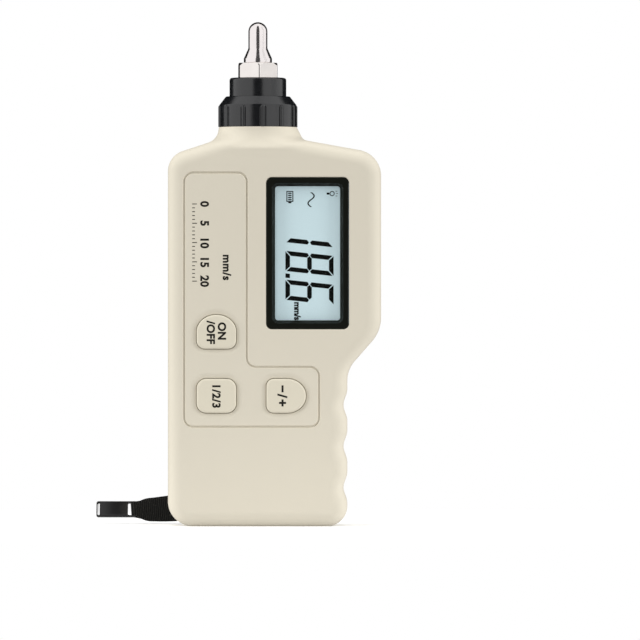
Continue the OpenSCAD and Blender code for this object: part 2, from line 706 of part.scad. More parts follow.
// Parts on the back of the board: x, z, width and height of each chip.
chip_t = 1.5;
chip_w = 10;
amp_size = [5, 4];
part_pitch = 8;       // grid on which the parts stand
part_x = [left_x+1.5*part_pitch, left_x+2*part_pitch+amp_size[0], right_x-1.5*part_pitch];
low_row = block_z1 + part_pitch;
top_row = board_z[1] - 2*part_pitch;
chip_places = [[probe_x+2*part_pitch+seat, low_row+part_pitch, chip_w, chip_w],
               [part_x[0]+amp_size[1], top_row, amp_size[0], amp_size[1]],
               [part_x[0]+amp_size[1], top_row-part_pitch, amp_size[0], amp_size[1]],
               [part_x[1]+seat, top_row, amp_size[1], amp_size[0]]];
can_size = [[3.2, 7], [2.5, 5.5]];
can_places = [[left_x+part_pitch+can_size[1][0], low_row+part_pitch, can_size[0][0], can_size[0][1]],
              [part_x[1], low_row, can_size[1][0], can_size[1][1]],
              [part_x[2], top_row, can_size[1][0], can_size[1][1]]];
crystal_size = [11, 4.6, 3.5];
crystal_round_share = 0.45;
crystal_place = [probe_x+crystal_size[0]/2, top_row+seat];
trimmer_w = 6.6;
trimmer_t = 4.2;
trimmer_r = 2.2;
trimmer_rise = 0.4;
trimmer_slot = [0.7, 1.4];
trimmer_places = [[part_x[2], block_z1+trimmer_w], [part_x[0], block_z1+trimmer_w/2+part_pitch/4]];
module chips() color([0.12, 0.12, 0.13]) for (c = chip_places)
  block(c[0]-c[2]/2, c[0]+c[2]/2, board_back, board_back+chip_t, c[1]-c[3]/2, c[1]+c[3]/2);
module capacitors() color([0.2, 0.2, 0.45]) for (c = can_places)
  along_y(c[0], c[1], c[2], board_back, board_back+c[3]);
module crystal() color(steel) slab(board_back, board_back+crystal_size[2]) polygon(round_loop(box_loop(
  crystal_place[0]-crystal_size[0]/2, crystal_place[0]+crystal_size[0]/2,
  crystal_place[1]-crystal_size[1]/2, crystal_place[1]+crystal_size[1]/2, 
  crystal_size[1]*crystal_round_share)));
module trimmers() color([0.15, 0.3, 0.7]) for (p = trimmer_places) difference() {
  union() {
    block(p[0]-trimmer_w/2, p[0]+trimmer_w/2, board_back, board_back+trimmer_t,
      p[1]-trimmer_w/2, p[1]+trimmer_w/2);
    along_y(p[0], p[1], trimmer_r, board_back, board_back+trimmer_t+trimmer_rise);
  }
  translate([p[0], board_back+trimmer_t+trimmer_rise, p[1]])
    cube([2*trimmer_r+seat, trimmer_slot[1], trimmer_slot[0]], center = true);
}

key_places = [[measure_x, measure_z], [measure_x, key_row_z], [range_x, key_row_z]];
module key_switches() color([0.15, 0.15, 0.15]) for (p = key_places) difference() {
  block(p[0]-switch_w/2, p[0]+switch_w/2, switch_y, board_y, p[1]-switch_w/2, p[1]+switch_w/2);
  along_y(p[0], p[1], plunger_r+fit, switch_y-cut, board_y-switch_floor);
}
module plunger(x, z) color([0.8, 0.8, 0.75]) along_y(x, z, plunger_r, plunger_y, plunger_y+plunger_h);
module measure_plunger() plunger(measure_x, measure_z);
module mode_plunger() plunger(measure_x, key_row_z);
module range_plunger() plunger(range_x, key_row_z);

module battery() color([0.25, 0.27, 0.3]) {
  translate([0, 0, battery_z0]) linear_extrude(battery_h) polygon(round_loop([
    [probe_x-battery_w/2, battery_y1, battery_r], [probe_x-battery_w/2, battery_y0, battery_r],
    [probe_x+battery_w/2, battery_y0, battery_r], [probe_x+battery_w/2, battery_y1, battery_r]]));
  for (side = [-1, 1])
    translate([probe_x+side*terminal_x, (battery_y0+battery_y1)/2, battery_z0+battery_h-cut])
      cylinder(r = terminal_r, h = terminal_h+cut, $fn = 48);
}
module battery_foam() color([0.2, 0.2, 0.2]) block(probe_x-battery_w/2, probe_x+battery_w/2,
  battery_y0, battery_y1, cavity_z0, cavity_z0+foam_t);
module battery_snap() color(black) {
  z0 = battery_z0 + battery_h + terminal_h + fit;
  yc = (battery_y0+battery_y1)/2;
  block(probe_x-snap_w/2, probe_x+snap_w/2, yc-snap_d/2, yc+snap_d/2, z0, z0+snap_t);
  for (side = [-1, 1]) difference() {
    translate([probe_x+side*terminal_x, yc, z0-snap_grip])
      cylinder(r = terminal_r+snap_wall, h = snap_grip+snap_t/2, $fn = 48);
    translate([probe_x+side*terminal_x, yc, z0-terminal_h])
      cylinder(r = terminal_r+fit, h = terminal_h, $fn = 48);
  }
}
// A round lead of eight sides carried along its route.
function lead_ring(route, i, r, x) = let (
    last = len(route)-1, d = unit(route[min(i+1, last)]-route[max(i-1, 0)]),
    u = unit(cross(d, [1, 0, 0.001])), v = cross(d, u))
  [for (k = [0:7]) route[i] + [x, 0, 0] + r*(u*cos(45*k) + v*sin(45*k))];
module lead(route, r, x) skin([for (i = [0:len(route)-1]) lead_ring(route, i, r, x)]);
module battery_leads() color([0.6, 0.1, 0.1])
  for (side = [-1, 1]) lead(lead_route, lead_r, probe_x+side*2*lead_r);
module sensor_cable() color([0.3, 0.3, 0.3]) lead(sensor_route, cable_r, 0);

module collar_ring() color(black) {
  panel_r = collar_d/2 - rib_rise;
  difference() {
    union() {
      translate([probe_x, 0, 0]) rotate_extrude($fn = 96) polygon([
        [0, case_h], [panel_r, case_h], [panel_r, collar_z1-collar_bevel[1]],
        [collar_d/2-collar_bevel[0], collar_z1], [0, collar_z1]]);
      for (k = [0:collar_ribs-1]) translate([probe_x, 0, case_h])
        rotate([0, 0, rib_turn-90+360*k/collar_ribs]) translate([collar_d/2-rib_r, 0, 0]) {
          cylinder(r = rib_r, h = collar_h-collar_bevel[1]-rib_r, $fn = 24);
          translate([0, 0, collar_h-collar_bevel[1]-rib_r]) sphere(r = rib_r, $fn = 24);
        }
    }
    on_axis(sleeve_r+seat, case_h-cut, collar_z1+cut);
  }
}
module sensor_sleeve() color(black) difference() {
  union() {
    translate([probe_x, 0, 0]) rotate_extrude($fn = 96) polygon(concat(
      [[0, sleeve_z0], [sleeve_r, sleeve_z0]],
      [for (a = [0:dome_step:90]) [sleeve_r-sleeve_edge*(1-cos(a)), sleeve_z1-sleeve_edge*(1-sin(a))]],
      [[0, sleeve_z1]]));
    on_axis(sleeve_flange_r, case_h-wall-seat-sleeve_flange_t, case_h-wall-seat);
  }
  on_axis(sleeve_r-sleeve_wall, sleeve_z0-cut, sleeve_z1-sleeve_lip);
  on_axis(can_r+3*fit, sleeve_z0, sleeve_z1+cut);
}
module isolator_rings() color([0.15, 0.15, 0.15]) for (z = [sleeve_z0+2*ring_in, sleeve_z1-2*ring_in])
  translate([probe_x, 0, z]) rotate_extrude($fn = 96)
    translate([(can_r+sleeve_r-sleeve_wall)/2, 0]) circle(r = ring_r, $fn = 24);

module sensor_base() color(steel) difference() {
  union() {
    intersection() {
      translate([probe_x, 0, sleeve_z1]) rotate([0, 0, hex_turn-90]) cylinder(r = hex_r, h = hex_h, $fn = 6);
      translate([probe_x, 0, 0]) rotate_extrude($fn = 96) polygon([
        [0, sleeve_z1-cut], [hex_r+cut, sleeve_z1-cut], [hex_r+cut, hex_z1-hex_bevel[1]-cut],
        [hex_r, hex_z1-hex_bevel[1]], [hex_r-hex_bevel[0], hex_z1], [0, hex_z1]]);
    }
    on_axis(can_r, can_z1, sleeve_z1+hex_h/2);
    on_axis(sensor_post_r, can_z1-post_len, can_z1+cut);
  }
  on_axis(stud_d/2+fit, hex_z1-stud_len-cut, hex_z1+cut);
}
module sensor_can() color(steel) difference() {
  on_axis(can_r, can_z0, can_z1);
  on_axis(can_r-can_wall, can_z0+can_wall, can_z1+cut);
  on_axis(cable_r+fit, can_z0-cut, can_z0+can_wall+cut);
}
disc_z1 = can_z1 - fit;
shim_z1 = disc_z1 - disc_t;
mass_z1 = disc_z1 - 2*disc_t - shim_t - fit;
module piezo_discs() color([0.85, 0.8, 0.65]) for (z1 = [disc_z1, shim_z1-shim_t])
  axis_ring(sensor_post_r+fit, disc_r, z1-disc_t, z1);
module contact_shim() color([0.8, 0.6, 0.3])
  axis_ring(sensor_post_r+fit, disc_r, shim_z1-shim_t, shim_z1);
module seismic_mass() color([0.45, 0.45, 0.47])
  axis_ring(sensor_post_r+fit, mass_r, mass_z1-mass_h, mass_z1);
module mass_nut() color(steel) difference() {
  translate([probe_x, 0, mass_z1-mass_h-nut_h]) cylinder(r = nut_af/2/cos(30), h = nut_h, $fn = 6);
  on_axis(sensor_post_r+fit, mass_z1-mass_h-nut_h-cut, mass_z1);
}
module probe_tip() color([0.85, 0.85, 0.86]) translate([probe_x, 0, hex_z1]) rotate_extrude($fn = 96)
  polygon(concat(
    [[0, -stud_len], [stud_d/2, -stud_len], [stud_d/2, 0], [tip_flange_r, 0], [tip_flange_r, tip_flange_h],
     [tip_d/2, tip_flange_h+tip_cone_h]],
    [for (a = [0:dome_step/2:90]) [tip_d/2*cos(a), tip_h-tip_d/2+tip_d/2*sin(a)]]));

module strap_pin() color(steel) translate([pin_x, pin_y, pin_z[0]])
  cylinder(r = pin_r, h = pin_z[1]-pin_z[0]-seat, $fn = 48);

// A flat band carried along its route, turned from upright to the slider's tilt.
function band_ring(i) = let (
    last = len(strap_route)-1, a = strap_twist[i],
    d = unit(strap_route[min(i+1, last)]-strap_route[max(i-1, 0)]),
    w0 = [0, sin(a), cos(a)], w = unit(w0-d*(d*w0)), n = cross(d, w),
    hw = web_w/2, ht = web_t, c = web_t/2)
  [for (p = [[hw, ht-c], [hw-c, ht], [c-hw, ht], [-hw, ht-c],
             [-hw, c-ht], [c-hw, -ht], [hw-c, -ht], [hw, c-ht]])
    strap_route[i] + w*p[0] + n*p[1]];
bar_at = strap_route[len(strap_route)-1];
module at_bar() translate(bar_at) rotate([-slider_turn, 0, 0]) children();
module wrist_strap() color(black) difference() {
  union() {
    skin([for (i = [0:len(strap_route)-1]) band_ring(i)]);
    translate([pin_x, pin_y, strap_route[0][2]-web_w/2]) cylinder(r = pin_r+fit+web_t, h = web_w, $fn = 48);
    at_bar() translate([0, 0, -web_w/2]) cylinder(r = bar_r+fit+web_t, h = web_w, $fn = 48);
  }
  translate([pin_x, pin_y, 0]) cylinder(r = pin_r+fit, h = pin_z[1]+cut, $fn = 48);
  at_bar() translate([0, 0, -slider_w/2]) cylinder(r = bar_r+fit, h = slider_w, $fn = 48);
}
// Two slot slider: a round bar under the webbing, two rails and a plate with hollow ends.
module strap_slider() color(black) at_bar() {
  translate([0, 0, -slider_w/2]) cylinder(r = bar_r, h = slider_w, $fn = 48);
  for (side = [-1, 1]) block(-slider_l+bar_r, bar_r, -slider_t/2, slider_t/2,
    side > 0 ? slider_w/2-slider_rail : -slider_w/2, side > 0 ? slider_w/2 : -slider_w/2+slider_rail);
  block(-slider_l+bar_r, -slider_l+bar_r+slider_rail, -slider_t/2, slider_t/2, -slider_w/2, slider_w/2);
  difference() {
    block(-slider_l+bar_r+slider_rail+slider_slot, -bar_r-web_t-slider_slot, -slider_t/2, slider_t/2,
      -slider_w/2, slider_w/2);
    for (x = [-slider_l+bar_r+slider_rail+slider_slot-slider_curve+slider_rail,
              -bar_r-web_t-slider_slot+slider_curve-slider_rail])
      intersection() {
        translate([x, slider_t, 0]) rotate([90, 0, 0]) cylinder(r = slider_curve, h = 2*slider_t, $fn = 96);
        block(x-slider_l, x+slider_l, -slider_t, slider_t, slider_rail-slider_w/2, slider_w/2-slider_rail);
      }
  }
}

front_shell();
rear_shell();
battery_door();
case_screws();
display_bezel();
display_window();
lcd_glass();
lcd_backlight();
contact_strip();
main_board();
board_screws();
chips();
capacitors();
crystal();
trimmers();
key_switches();
measure_plunger();
mode_plunger();
range_plunger();
measure_key();
mode_key();
range_key();
battery();
battery_foam();
battery_snap();
battery_leads();
collar_ring();
sensor_sleeve();
isolator_rings();
sensor_base();
sensor_can();
piezo_discs();
contact_shim();
seismic_mass();
mass_nut();
sensor_cable();
probe_tip();
strap_pin();
wrist_strap();
strap_slider();
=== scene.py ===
"""Looks of the handheld vibration meter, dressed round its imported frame.

Lengths are millimetres until a mesh is made; a mesh is in metres, in the frame of the part:
the base is z = 0, the display looks along -Y and the probe stands on top.
"""
import math

import bmesh
import bpy
import numpy as np
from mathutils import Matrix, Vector
from mathutils.geometry import tessellate_polygon


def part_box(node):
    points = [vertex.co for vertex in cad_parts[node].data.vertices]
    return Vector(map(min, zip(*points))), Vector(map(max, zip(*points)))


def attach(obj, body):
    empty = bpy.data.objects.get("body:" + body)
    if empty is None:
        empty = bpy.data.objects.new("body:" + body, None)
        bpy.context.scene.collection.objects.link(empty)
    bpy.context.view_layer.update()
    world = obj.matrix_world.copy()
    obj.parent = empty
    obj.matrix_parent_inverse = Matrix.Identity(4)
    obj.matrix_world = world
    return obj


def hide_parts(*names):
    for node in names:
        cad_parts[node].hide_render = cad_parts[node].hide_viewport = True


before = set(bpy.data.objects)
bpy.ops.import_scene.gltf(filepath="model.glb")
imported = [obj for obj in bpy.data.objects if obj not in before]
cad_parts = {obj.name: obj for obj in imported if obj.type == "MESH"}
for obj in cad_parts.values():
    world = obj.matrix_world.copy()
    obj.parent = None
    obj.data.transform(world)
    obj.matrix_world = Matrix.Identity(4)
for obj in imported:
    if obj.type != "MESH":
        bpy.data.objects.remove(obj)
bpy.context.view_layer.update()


# Camera: a long lens square to the display, so far away that the collar's edge stays straight.
# Its height is the middle of the picture, and its view is as wide as the photograph's.
MM = 0.001
VIEW_W = 200.8
VIEW_CENTRE = (14.3, 64.8)
LENS_DISTANCE = 2500
SENSOR = 36


def corners(node):
    """The lowest and the highest corner of a CAD node at rest, in millimetres."""
    return [np.array(corner)/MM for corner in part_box(node)]


def present(name, data):
    """An object for a mesh, a lamp or a camera, linked into the scene."""
    made = bpy.data.objects.new(name, data)
    bpy.context.scene.collection.objects.link(made)
    return made


front_y = corners("front_shell")[0][1]
camera = present("camera", bpy.data.cameras.new("camera"))
camera.data.sensor_width = SENSOR
camera.data.lens = SENSOR*LENS_DISTANCE/VIEW_W
camera.location = (VIEW_CENTRE[0]*MM, (front_y - LENS_DISTANCE)*MM, VIEW_CENTRE[1]*MM)
camera.rotation_euler = (math.radians(90), 0, 0)
bpy.context.scene.camera = camera


# Wrist strap: black nylon webbing, folded round a steel pin in the case and round the bar of
# a slider, both layers lying on each other. It is short, flat and stiff enough to stand out.
class Wire:
    """One value in a node tree. Sums and products of wires add the Math nodes that work them out."""

    def __init__(self, graph, socket):
        self.graph, self.socket = graph, socket

    def apply(self, operation, *values):
        """This wire and the values through one Math node."""
        return self.graph.node("Math", {"operation": operation}, dict(enumerate((self, *values))))

    def __add__(self, other):
        return self.apply("ADD", other)

    def __mul__(self, other):
        return self.apply("MULTIPLY", other)

    def __rsub__(self, other):
        return self*-1 + other

    __radd__, __rmul__ = __add__, __mul__


class Graph:
    """A node tree whose nodes all come from one method."""

    def __init__(self, tree):
        self.tree = tree

    def node(self, kind, settings=None, sockets=None, out=0):
        """A new node with its settings and its sockets' values or wires; one output comes back."""
        made = self.tree.nodes.new("ShaderNode" + kind)
        for setting, value in (settings or {}).items():
            setattr(made, setting, value)
        for socket, value in (sockets or {}).items():
            if isinstance(value, Wire):
                self.tree.links.new(value.socket, made.inputs[socket])
            else:
                made.inputs[socket].default_value = value
        return Wire(self, made.outputs[out])

    def plug(self, wire, node, socket):
        """Links a wire to a socket of the node that has this name."""
        self.tree.links.new(wire.socket, self.tree.nodes[node].inputs[socket])


class Finish(Graph):
    """A material with one Principled shader: constants go on its sockets, wires feed the rest."""

    def __init__(self, name, constants, specular=0.5):
        self.name = name
        self.material = bpy.data.materials.new(name)
        self.material.use_nodes = True
        super().__init__(self.material.node_tree)
        self.shader = self.tree.nodes["Principled BSDF"]
        for socket, value in {"Specular IOR Level": specular, **constants}.items():
            self.shader.inputs[socket].default_value = value

    def axes(self, names, kind="Object"):
        """The place on the surface along each of the named axes."""
        return [self.node("SeparateXYZ", None, {0: self.node("TexCoord", out=kind)}, axis) for axis in names]

    def noise(self, scale, detail=2.0, stretch=(1, 1, 1)):
        """Clouds from 0 to 1 that lie still on the piece."""
        place = self.node("Mapping", None, {"Vector": self.node("TexCoord", out="Object"), "Scale": stretch})
        return self.node("TexNoise", None, {"Vector": place, "Scale": scale, "Detail": detail})

    def mix(self, factor, first, second):
        """A blend of two colours, which a Mix node takes on inputs 6 and 7 and gives on output 2."""
        return self.node("Mix", {"data_type": "RGBA"}, {0: factor, 6: first, 7: second}, 2)

    def bump(self, height, distance):
        """A normal that leans with the slope of a height."""
        return self.node("Bump", None, {"Height": height, "Distance": distance, "Strength": 1.0})

    def feed(self, socket, wire):
        """Links a wire to one of the shader's own sockets."""
        self.plug(wire, "Principled BSDF", socket)

    def paint(self, scale, first, second):
        """Lets the base colour wander between two screen colours."""
        self.feed("Base Color", self.mix(self.noise(scale), colour(*first), colour(*second)))

    def polish(self, reach, least, *noise):
        """Lets the roughness wander upwards from its least value."""
        self.feed("Roughness", self.noise(*noise)*reach + least)

    def grain(self, scale, distance):
        """Gives the surface a fine relief."""
        self.feed("Normal", self.bump(self.noise(scale), distance))


def colour(red, green, blue):
    """A colour given as 0 to 255 screen values, in the linear light that a shader takes."""
    return tuple(np.power(np.array((red, green, blue))/255, 2.2)) + (1.0,)


def grid(points, loop=False):
    """Rows of points joined by quads; with loop, every row closes on itself."""
    rows, columns = points.shape[:2]
    index = np.arange(rows*columns).reshape(rows, columns)
    if loop:
        index = np.hstack([index, index[:, :1]])
    quads = np.stack([index[:-1, :-1], index[:-1, 1:], index[1:, 1:], index[1:, :-1]], -1)
    return points.reshape(-1, 3), quads.reshape(-1, 4)


def healed(mesh, reach=2e-6):
    """Merges a mesh's doubles and turns its faces outwards."""
    work = bmesh.new()
    work.from_mesh(mesh)
    bmesh.ops.remove_doubles(work, verts=work.verts, dist=reach)
    bmesh.ops.recalc_face_normals(work, faces=work.faces)
    work.to_mesh(mesh)
    work.free()


def dressed(mesh, finish):
    """The mesh, with its finish as its only material."""
    mesh.materials.clear()
    mesh.materials.append(finish.material)
    return mesh


def mounted(name, mesh, body, finish, stands_for=()):
    """A mesh with its finish as a piece that rides a body, in place of the CAD nodes it stands for."""
    made = present(name, dressed(mesh, finish))
    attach(made, body)
    if stands_for:
        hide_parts(*stands_for)
    return made


def joined(name, patches):
    """Patches of points and faces as one mesh, in metres."""
    points, faces, start = [], [], 0
    for patch_points, patch_faces in patches:
        points.append(patch_points)
        faces += [[int(spot) + start for spot in face] for face in patch_faces]
        start += len(patch_points)
    mesh = bpy.data.meshes.new(name)
    mesh.from_pydata((np.vstack(points)*MM).tolist(), [], faces)
    return mesh


def piece(name, patches, body, finish, stands_for, sharp=30, uv=None):
    """Patches as one object, smooth up to the sharp angle. A uv holds two lengths for every point."""
    mesh = joined(name, patches)
    if uv is not None:
        spots = [loop.vertex_index for loop in mesh.loops]
        mesh.uv_layers.new(name="weave").data.foreach_set("uv", uv[spots].ravel())
    healed(mesh)
    mesh.shade_smooth()
    mesh.set_sharp_from_angle(angle=math.radians(sharp))
    mounted(name, mesh, body, finish, stands_for)


def unit(vectors):
    """The vectors at length one; one that has no length stays as it is."""
    return vectors/np.maximum(np.linalg.norm(vectors, axis=-1, keepdims=True), 1e-12)


def through(points, steps):
    """A smooth curve through the points: Catmull-Rom pieces, with steps points each."""
    ends = np.vstack([2*points[:1] - points[1:2], points, 2*points[-1:] - points[-2:-1]])
    share = np.linspace(0, 1, steps, endpoint=False)[:, None]
    before, here, there, beyond = (ends[i:len(ends) - 3 + i, None] for i in range(4))
    curve = 0.5*(2*here + (there - before)*share + (2*before - 5*here + 4*there - beyond)*share**2
                 + (3*here - before - 3*there + beyond)*share**3)
    return np.vstack([curve.reshape(-1, points.shape[1]), points[-1:]])


WEB_W, WEB_T, EDGE_FULLNESS = 8.2, 0.75, 0.6
PIN_R, PIN_PLAY, PIN_SPREAD = 1.0, 0.03, 0.09
BAR_R, BAR_SPREAD = 0.4, 0.07
LAYER_PLAY, LAYER_SLIP = 0.02, 0.75
RIB_PITCH, YARN_PITCH = 0.62, 0.5
ROUTE_STEPS, FOLD_STEPS, SECTION_STEPS = 14, 12, 40
STRAP_ROUTE = np.array([[-25.5, 12.6, 7.3], [-27.5, 15.6, 6.5], [-30.5, 18, 5.6], [-34, 19, 5.2],
                        [-38, 19, 4.9], [-41.2, 18.8, 4.7], [-44.6, 18.5, 4.6]])
STRAP_TWIST = np.radians([0, 0, 3, 8, 15, 22, 33])[:, None]
STRAP_GATHER = np.array([1, 1, 0.97, 0.93, 0.9, 0.87, 0.6])[:, None]

# The middle between the layers: its route, the way across the webbing, and how far apart they lie.
route = through(STRAP_ROUTE, ROUTE_STEPS)
twist = through(STRAP_TWIST, ROUTE_STEPS)
gather = through(STRAP_GATHER, ROUTE_STEPS)
along = unit(np.gradient(route, axis=0))
across = np.hstack([0*twist, np.sin(twist), np.cos(twist)])
across = unit(across - along*(along*across).sum(1, keepdims=True))
out = np.cross(along, across)
share = np.linspace(0, 1, len(route))[:, None]
pin_turn = PIN_R + WEB_T/2 + PIN_PLAY
bar_turn = BAR_R + WEB_T/2 + LAYER_PLAY
gap = (WEB_T/2 + LAYER_PLAY + (pin_turn - WEB_T/2)*np.exp(-(share/PIN_SPREAD)**2)
       + (bar_turn - WEB_T/2)*np.exp(-((1 - share)/BAR_SPREAD)**2))
slip = -LAYER_SLIP*np.sin(math.pi*share)**0.5*across


def fold(centre, ahead, side, radius, flip):
    """Half a turn round a bar: points on a half circle from one layer to the other."""
    turn = np.linspace(0, math.pi, FOLD_STEPS + 2)[1:-1, None]
    return centre + radius*(np.sin(turn)*ahead + flip*np.cos(turn)*side)


def carried(values):
    """Values along the route, carried on round the bar, back over the second layer and round the pin."""
    return np.vstack([values, np.repeat(values[-1:], FOLD_STEPS, 0),
                      values[::-1], np.repeat(values[:1], FOLD_STEPS, 0)])


# One section of the webbing, with half round edges, carried round the whole closed path.
path = np.vstack([route + gap*out, fold(route[-1], along[-1], out[-1], gap[-1], 1),
                  (route - gap*out + slip)[::-1], fold(route[0], -along[0], out[0], gap[0], -1)])
wide = carried(across)
thick = unit(np.cross(unit(np.roll(path, -1, 0) - np.roll(path, 1, 0)), wide))
turn = np.linspace(0, 2*math.pi, SECTION_STEPS, endpoint=False)
section_w = np.sign(np.cos(turn))*(WEB_W - WEB_T)/2 + WEB_T/2*np.cos(turn)
section_t = WEB_T/2*np.sign(np.sin(turn))*np.abs(np.sin(turn))**EDGE_FULLNESS
rings = (path[:, None] + section_w[None, :, None]*(carried(gather)*wide)[:, None]
         + section_t[None, :, None]*thick[:, None])
rings = np.concatenate([rings, rings[:1]])
length = np.append(0, np.cumsum(np.linalg.norm(np.diff(rings[:, 0], axis=0), axis=1)))

webbing = Finish("strap_webbing", {"Roughness": 0.85, "Sheen Weight": 0.08, "Sheen Roughness": 0.4}, 0.2)
run, reach = webbing.axes("XY", "UV")
ribs = (run*(2*math.pi/RIB_PITCH)).apply("SINE")*0.5 + 0.5
yarns = (reach*(2*math.pi/YARN_PITCH)).apply("SINE")*0.5 + 0.5
weave = ribs*0.75 + ribs*yarns*0.25
webbing.feed("Base Color", webbing.mix(weave, colour(7, 7, 7), colour(40, 40, 38)))
webbing.feed("Normal", webbing.bump(weave + webbing.noise(2600)*0.3, 0.00016))
uv = np.column_stack([np.repeat(length, SECTION_STEPS), np.tile(section_w + WEB_W, len(rings))])
piece("wrist_strap_webbing", [grid(rings, loop=True)], "case", webbing, ["wrist_strap"], sharp=80, uv=uv)


# Front shell: moulded ABS with soft long edges and a neck that runs into the shoulders. A fine
# groove frames the keys, each key sits in a shallow dish, and the display has its own opening.
# Of a pair of values, the first is for the left side and the second for the right, and FLARE_R has
# the radius at the grip first and then the one at the head.
WALL, EDGE_R, LEAST_R = 2.0, 4.5, 0.3
GRIP_W, GRIP_H, FLARE_H = 56.4, 49.2, 12.1
NECK_R, NECK_H, NECK_FLAT = 12.3, 4.2, 0.8
NECK_SPREAD = (0.7, 2.1)
NECK_FOOT_R = (4.7, 2.6)
SHOULDER_DROP = (5.0, 4.4)
SHOULDER_R = (6.6, 8.2)
FOOT_R = (7.8, 6.3)
FLARE_R = (9.3, 11.4)
FINGER_HEIGHTS = (12.1, 25.1, 38.1)
FINGER_HALF, FINGER_DEPTH, FINGER_R = 4.2, 1.5, 5.0
SEAM_BEVEL, SEAM_SHARE = 0.3, 0.05
ARCH_SHARE, ARCH_DROP_SHARE, DEPTH_BLEND_SHARE = 0.62, 1.5, 0.7
FLAT_BORDER, BORDER_LEAD = 0.15, 5
SLEEVE_HOLE_R = 9.05
ARC_STEPS, EDGE_STEPS, BRIDGE_STEPS = 14, 12, 8
LEAD_STEPS, LEAD_SHARE = 4, 1/6

(left_x, _, _), (right_x, _, case_h) = corners("front_shell")
half_d = -front_y
probe_x = left_x + GRIP_W/2
grip_x = left_x + GRIP_W
shoulder_z = case_h - NECK_H
fingers = [point for z in FINGER_HEIGHTS for point in (
    (grip_x, z - FINGER_HALF, FINGER_R), (grip_x - FINGER_DEPTH, z, FINGER_R),
    (grip_x, z + FINGER_HALF, FINGER_R))]
case_path = np.array([
    (probe_x - NECK_R, case_h, 0), (probe_x - NECK_R - NECK_SPREAD[0], shoulder_z, NECK_FOOT_R[0]),
    (left_x, shoulder_z - SHOULDER_DROP[0], SHOULDER_R[0]), (left_x, 0, FOOT_R[0]),
    (grip_x, 0, FOOT_R[1]), *fingers, (grip_x, GRIP_H, FLARE_R[0]),
    (right_x, GRIP_H + FLARE_H, FLARE_R[1]), (right_x, shoulder_z - SHOULDER_DROP[1], SHOULDER_R[1]),
    (probe_x + NECK_R + NECK_SPREAD[1], shoulder_z, NECK_FOOT_R[1]), (probe_x + NECK_R, case_h, 0)])


def right_of(direction):
    """Directions turned a quarter to the right, which is outwards on these paths."""
    return np.stack([direction[:, 1], -direction[:, 0]], 1)


def sides(path):
    """A closed path's outward normals before and after every corner, and its way before the corner."""
    spot = path[:, :2]
    before, after = unit(spot - np.roll(spot, 1, 0)), unit(np.roll(spot, -1, 0) - spot)
    return right_of(before), right_of(after), before


def inset(path, distance):
    """Every corner moves in along both of its sides, and its radius shrinks or grows with it."""
    first, second, _ = sides(path)
    shift = (first + second)/(1 + (first*second).sum(1, keepdims=True))
    outer = first[:, 0]*second[:, 1] - first[:, 1]*second[:, 0] > 0
    radius = np.where(outer, np.maximum(path[:, 2] - distance, LEAST_R), path[:, 2] + distance)
    return np.column_stack([path[:, :2] - distance*shift, radius])


def rounded(path, steps=ARC_STEPS):
    """Every corner gives way to the arc of its radius that touches both of its sides."""
    first, second, before = sides(path)
    turn = np.where(first[:, 0]*second[:, 1] - first[:, 1]*second[:, 0] > 0, 1.0, -1.0)
    half = np.arccos(np.clip((first*second).sum(1), -1, 1))/2
    radius = path[:, 2]
    centre = path[:, :2] - (radius*np.tan(half))[:, None]*before - (turn*radius)[:, None]*first
    angle = (2*turn*half)[:, None]*np.linspace(0, 1, steps + 1)
    spoke = np.stack([first[:, :1]*np.cos(angle) - first[:, 1:]*np.sin(angle),
                      first[:, :1]*np.sin(angle) + first[:, 1:]*np.cos(angle)], -1)
    return (centre[:, None] + (turn*radius)[:, None, None]*spoke).reshape(-1, 2)


def case_outline(distance):
    """The case's outline, moved in: the neck's straight sides, with all the corners rounded between."""
    moved = inset(case_path, distance)
    ends = np.array([(probe_x - NECK_R + distance, case_h - distance),
                     (probe_x + NECK_R - distance, case_h - distance)])
    moved[0, :2], moved[-1, :2] = ends
    arcs = rounded(moved)[ARC_STEPS + 1:-ARC_STEPS - 1]
    lead = np.linspace(0, 1, LEAD_STEPS)[:-1, None]
    return np.vstack([ends[0] + (arcs[0] - ends[0])*lead, arcs,
                      (ends[1] + (arcs[-1] - ends[1])*lead)[::-1]])


def smooth(value):
    """From 0 to 1 with a soft start and a soft end."""
    value = np.clip(value, 0, 1)
    return value*value*(3 - 2*value)


def bezier(start, pull, draw, end, share):
    """A cubic curve that leaves its start towards pull and reaches its end from draw."""
    share = share[:, None]
    return (start*(1 - share)**3 + 3*pull*share*(1 - share)**2 + 3*draw*share*share*(1 - share)
            + end*share**3)


def lift(outline, depth):
    """Points of an outline in X and Z, set at a depth in Y."""
    return np.stack([outline[..., 0], np.broadcast_to(depth, outline.shape[:-1]), outline[..., 1]], -1)


def plate(loops, depth):
    """A flat face inside the first outline and outside the others."""
    faces = tessellate_polygon([[Vector((x, z, 0)) for x, z in loop] for loop in loops])
    return lift(np.vstack(loops), depth), np.array(faces)


end_shares = np.concatenate([np.linspace(0, LEAD_SHARE, LEAD_STEPS)[:-1],
                             np.linspace(LEAD_SHARE, 1, ARC_STEPS + 1)])
flat_from = len(end_shares) - 1


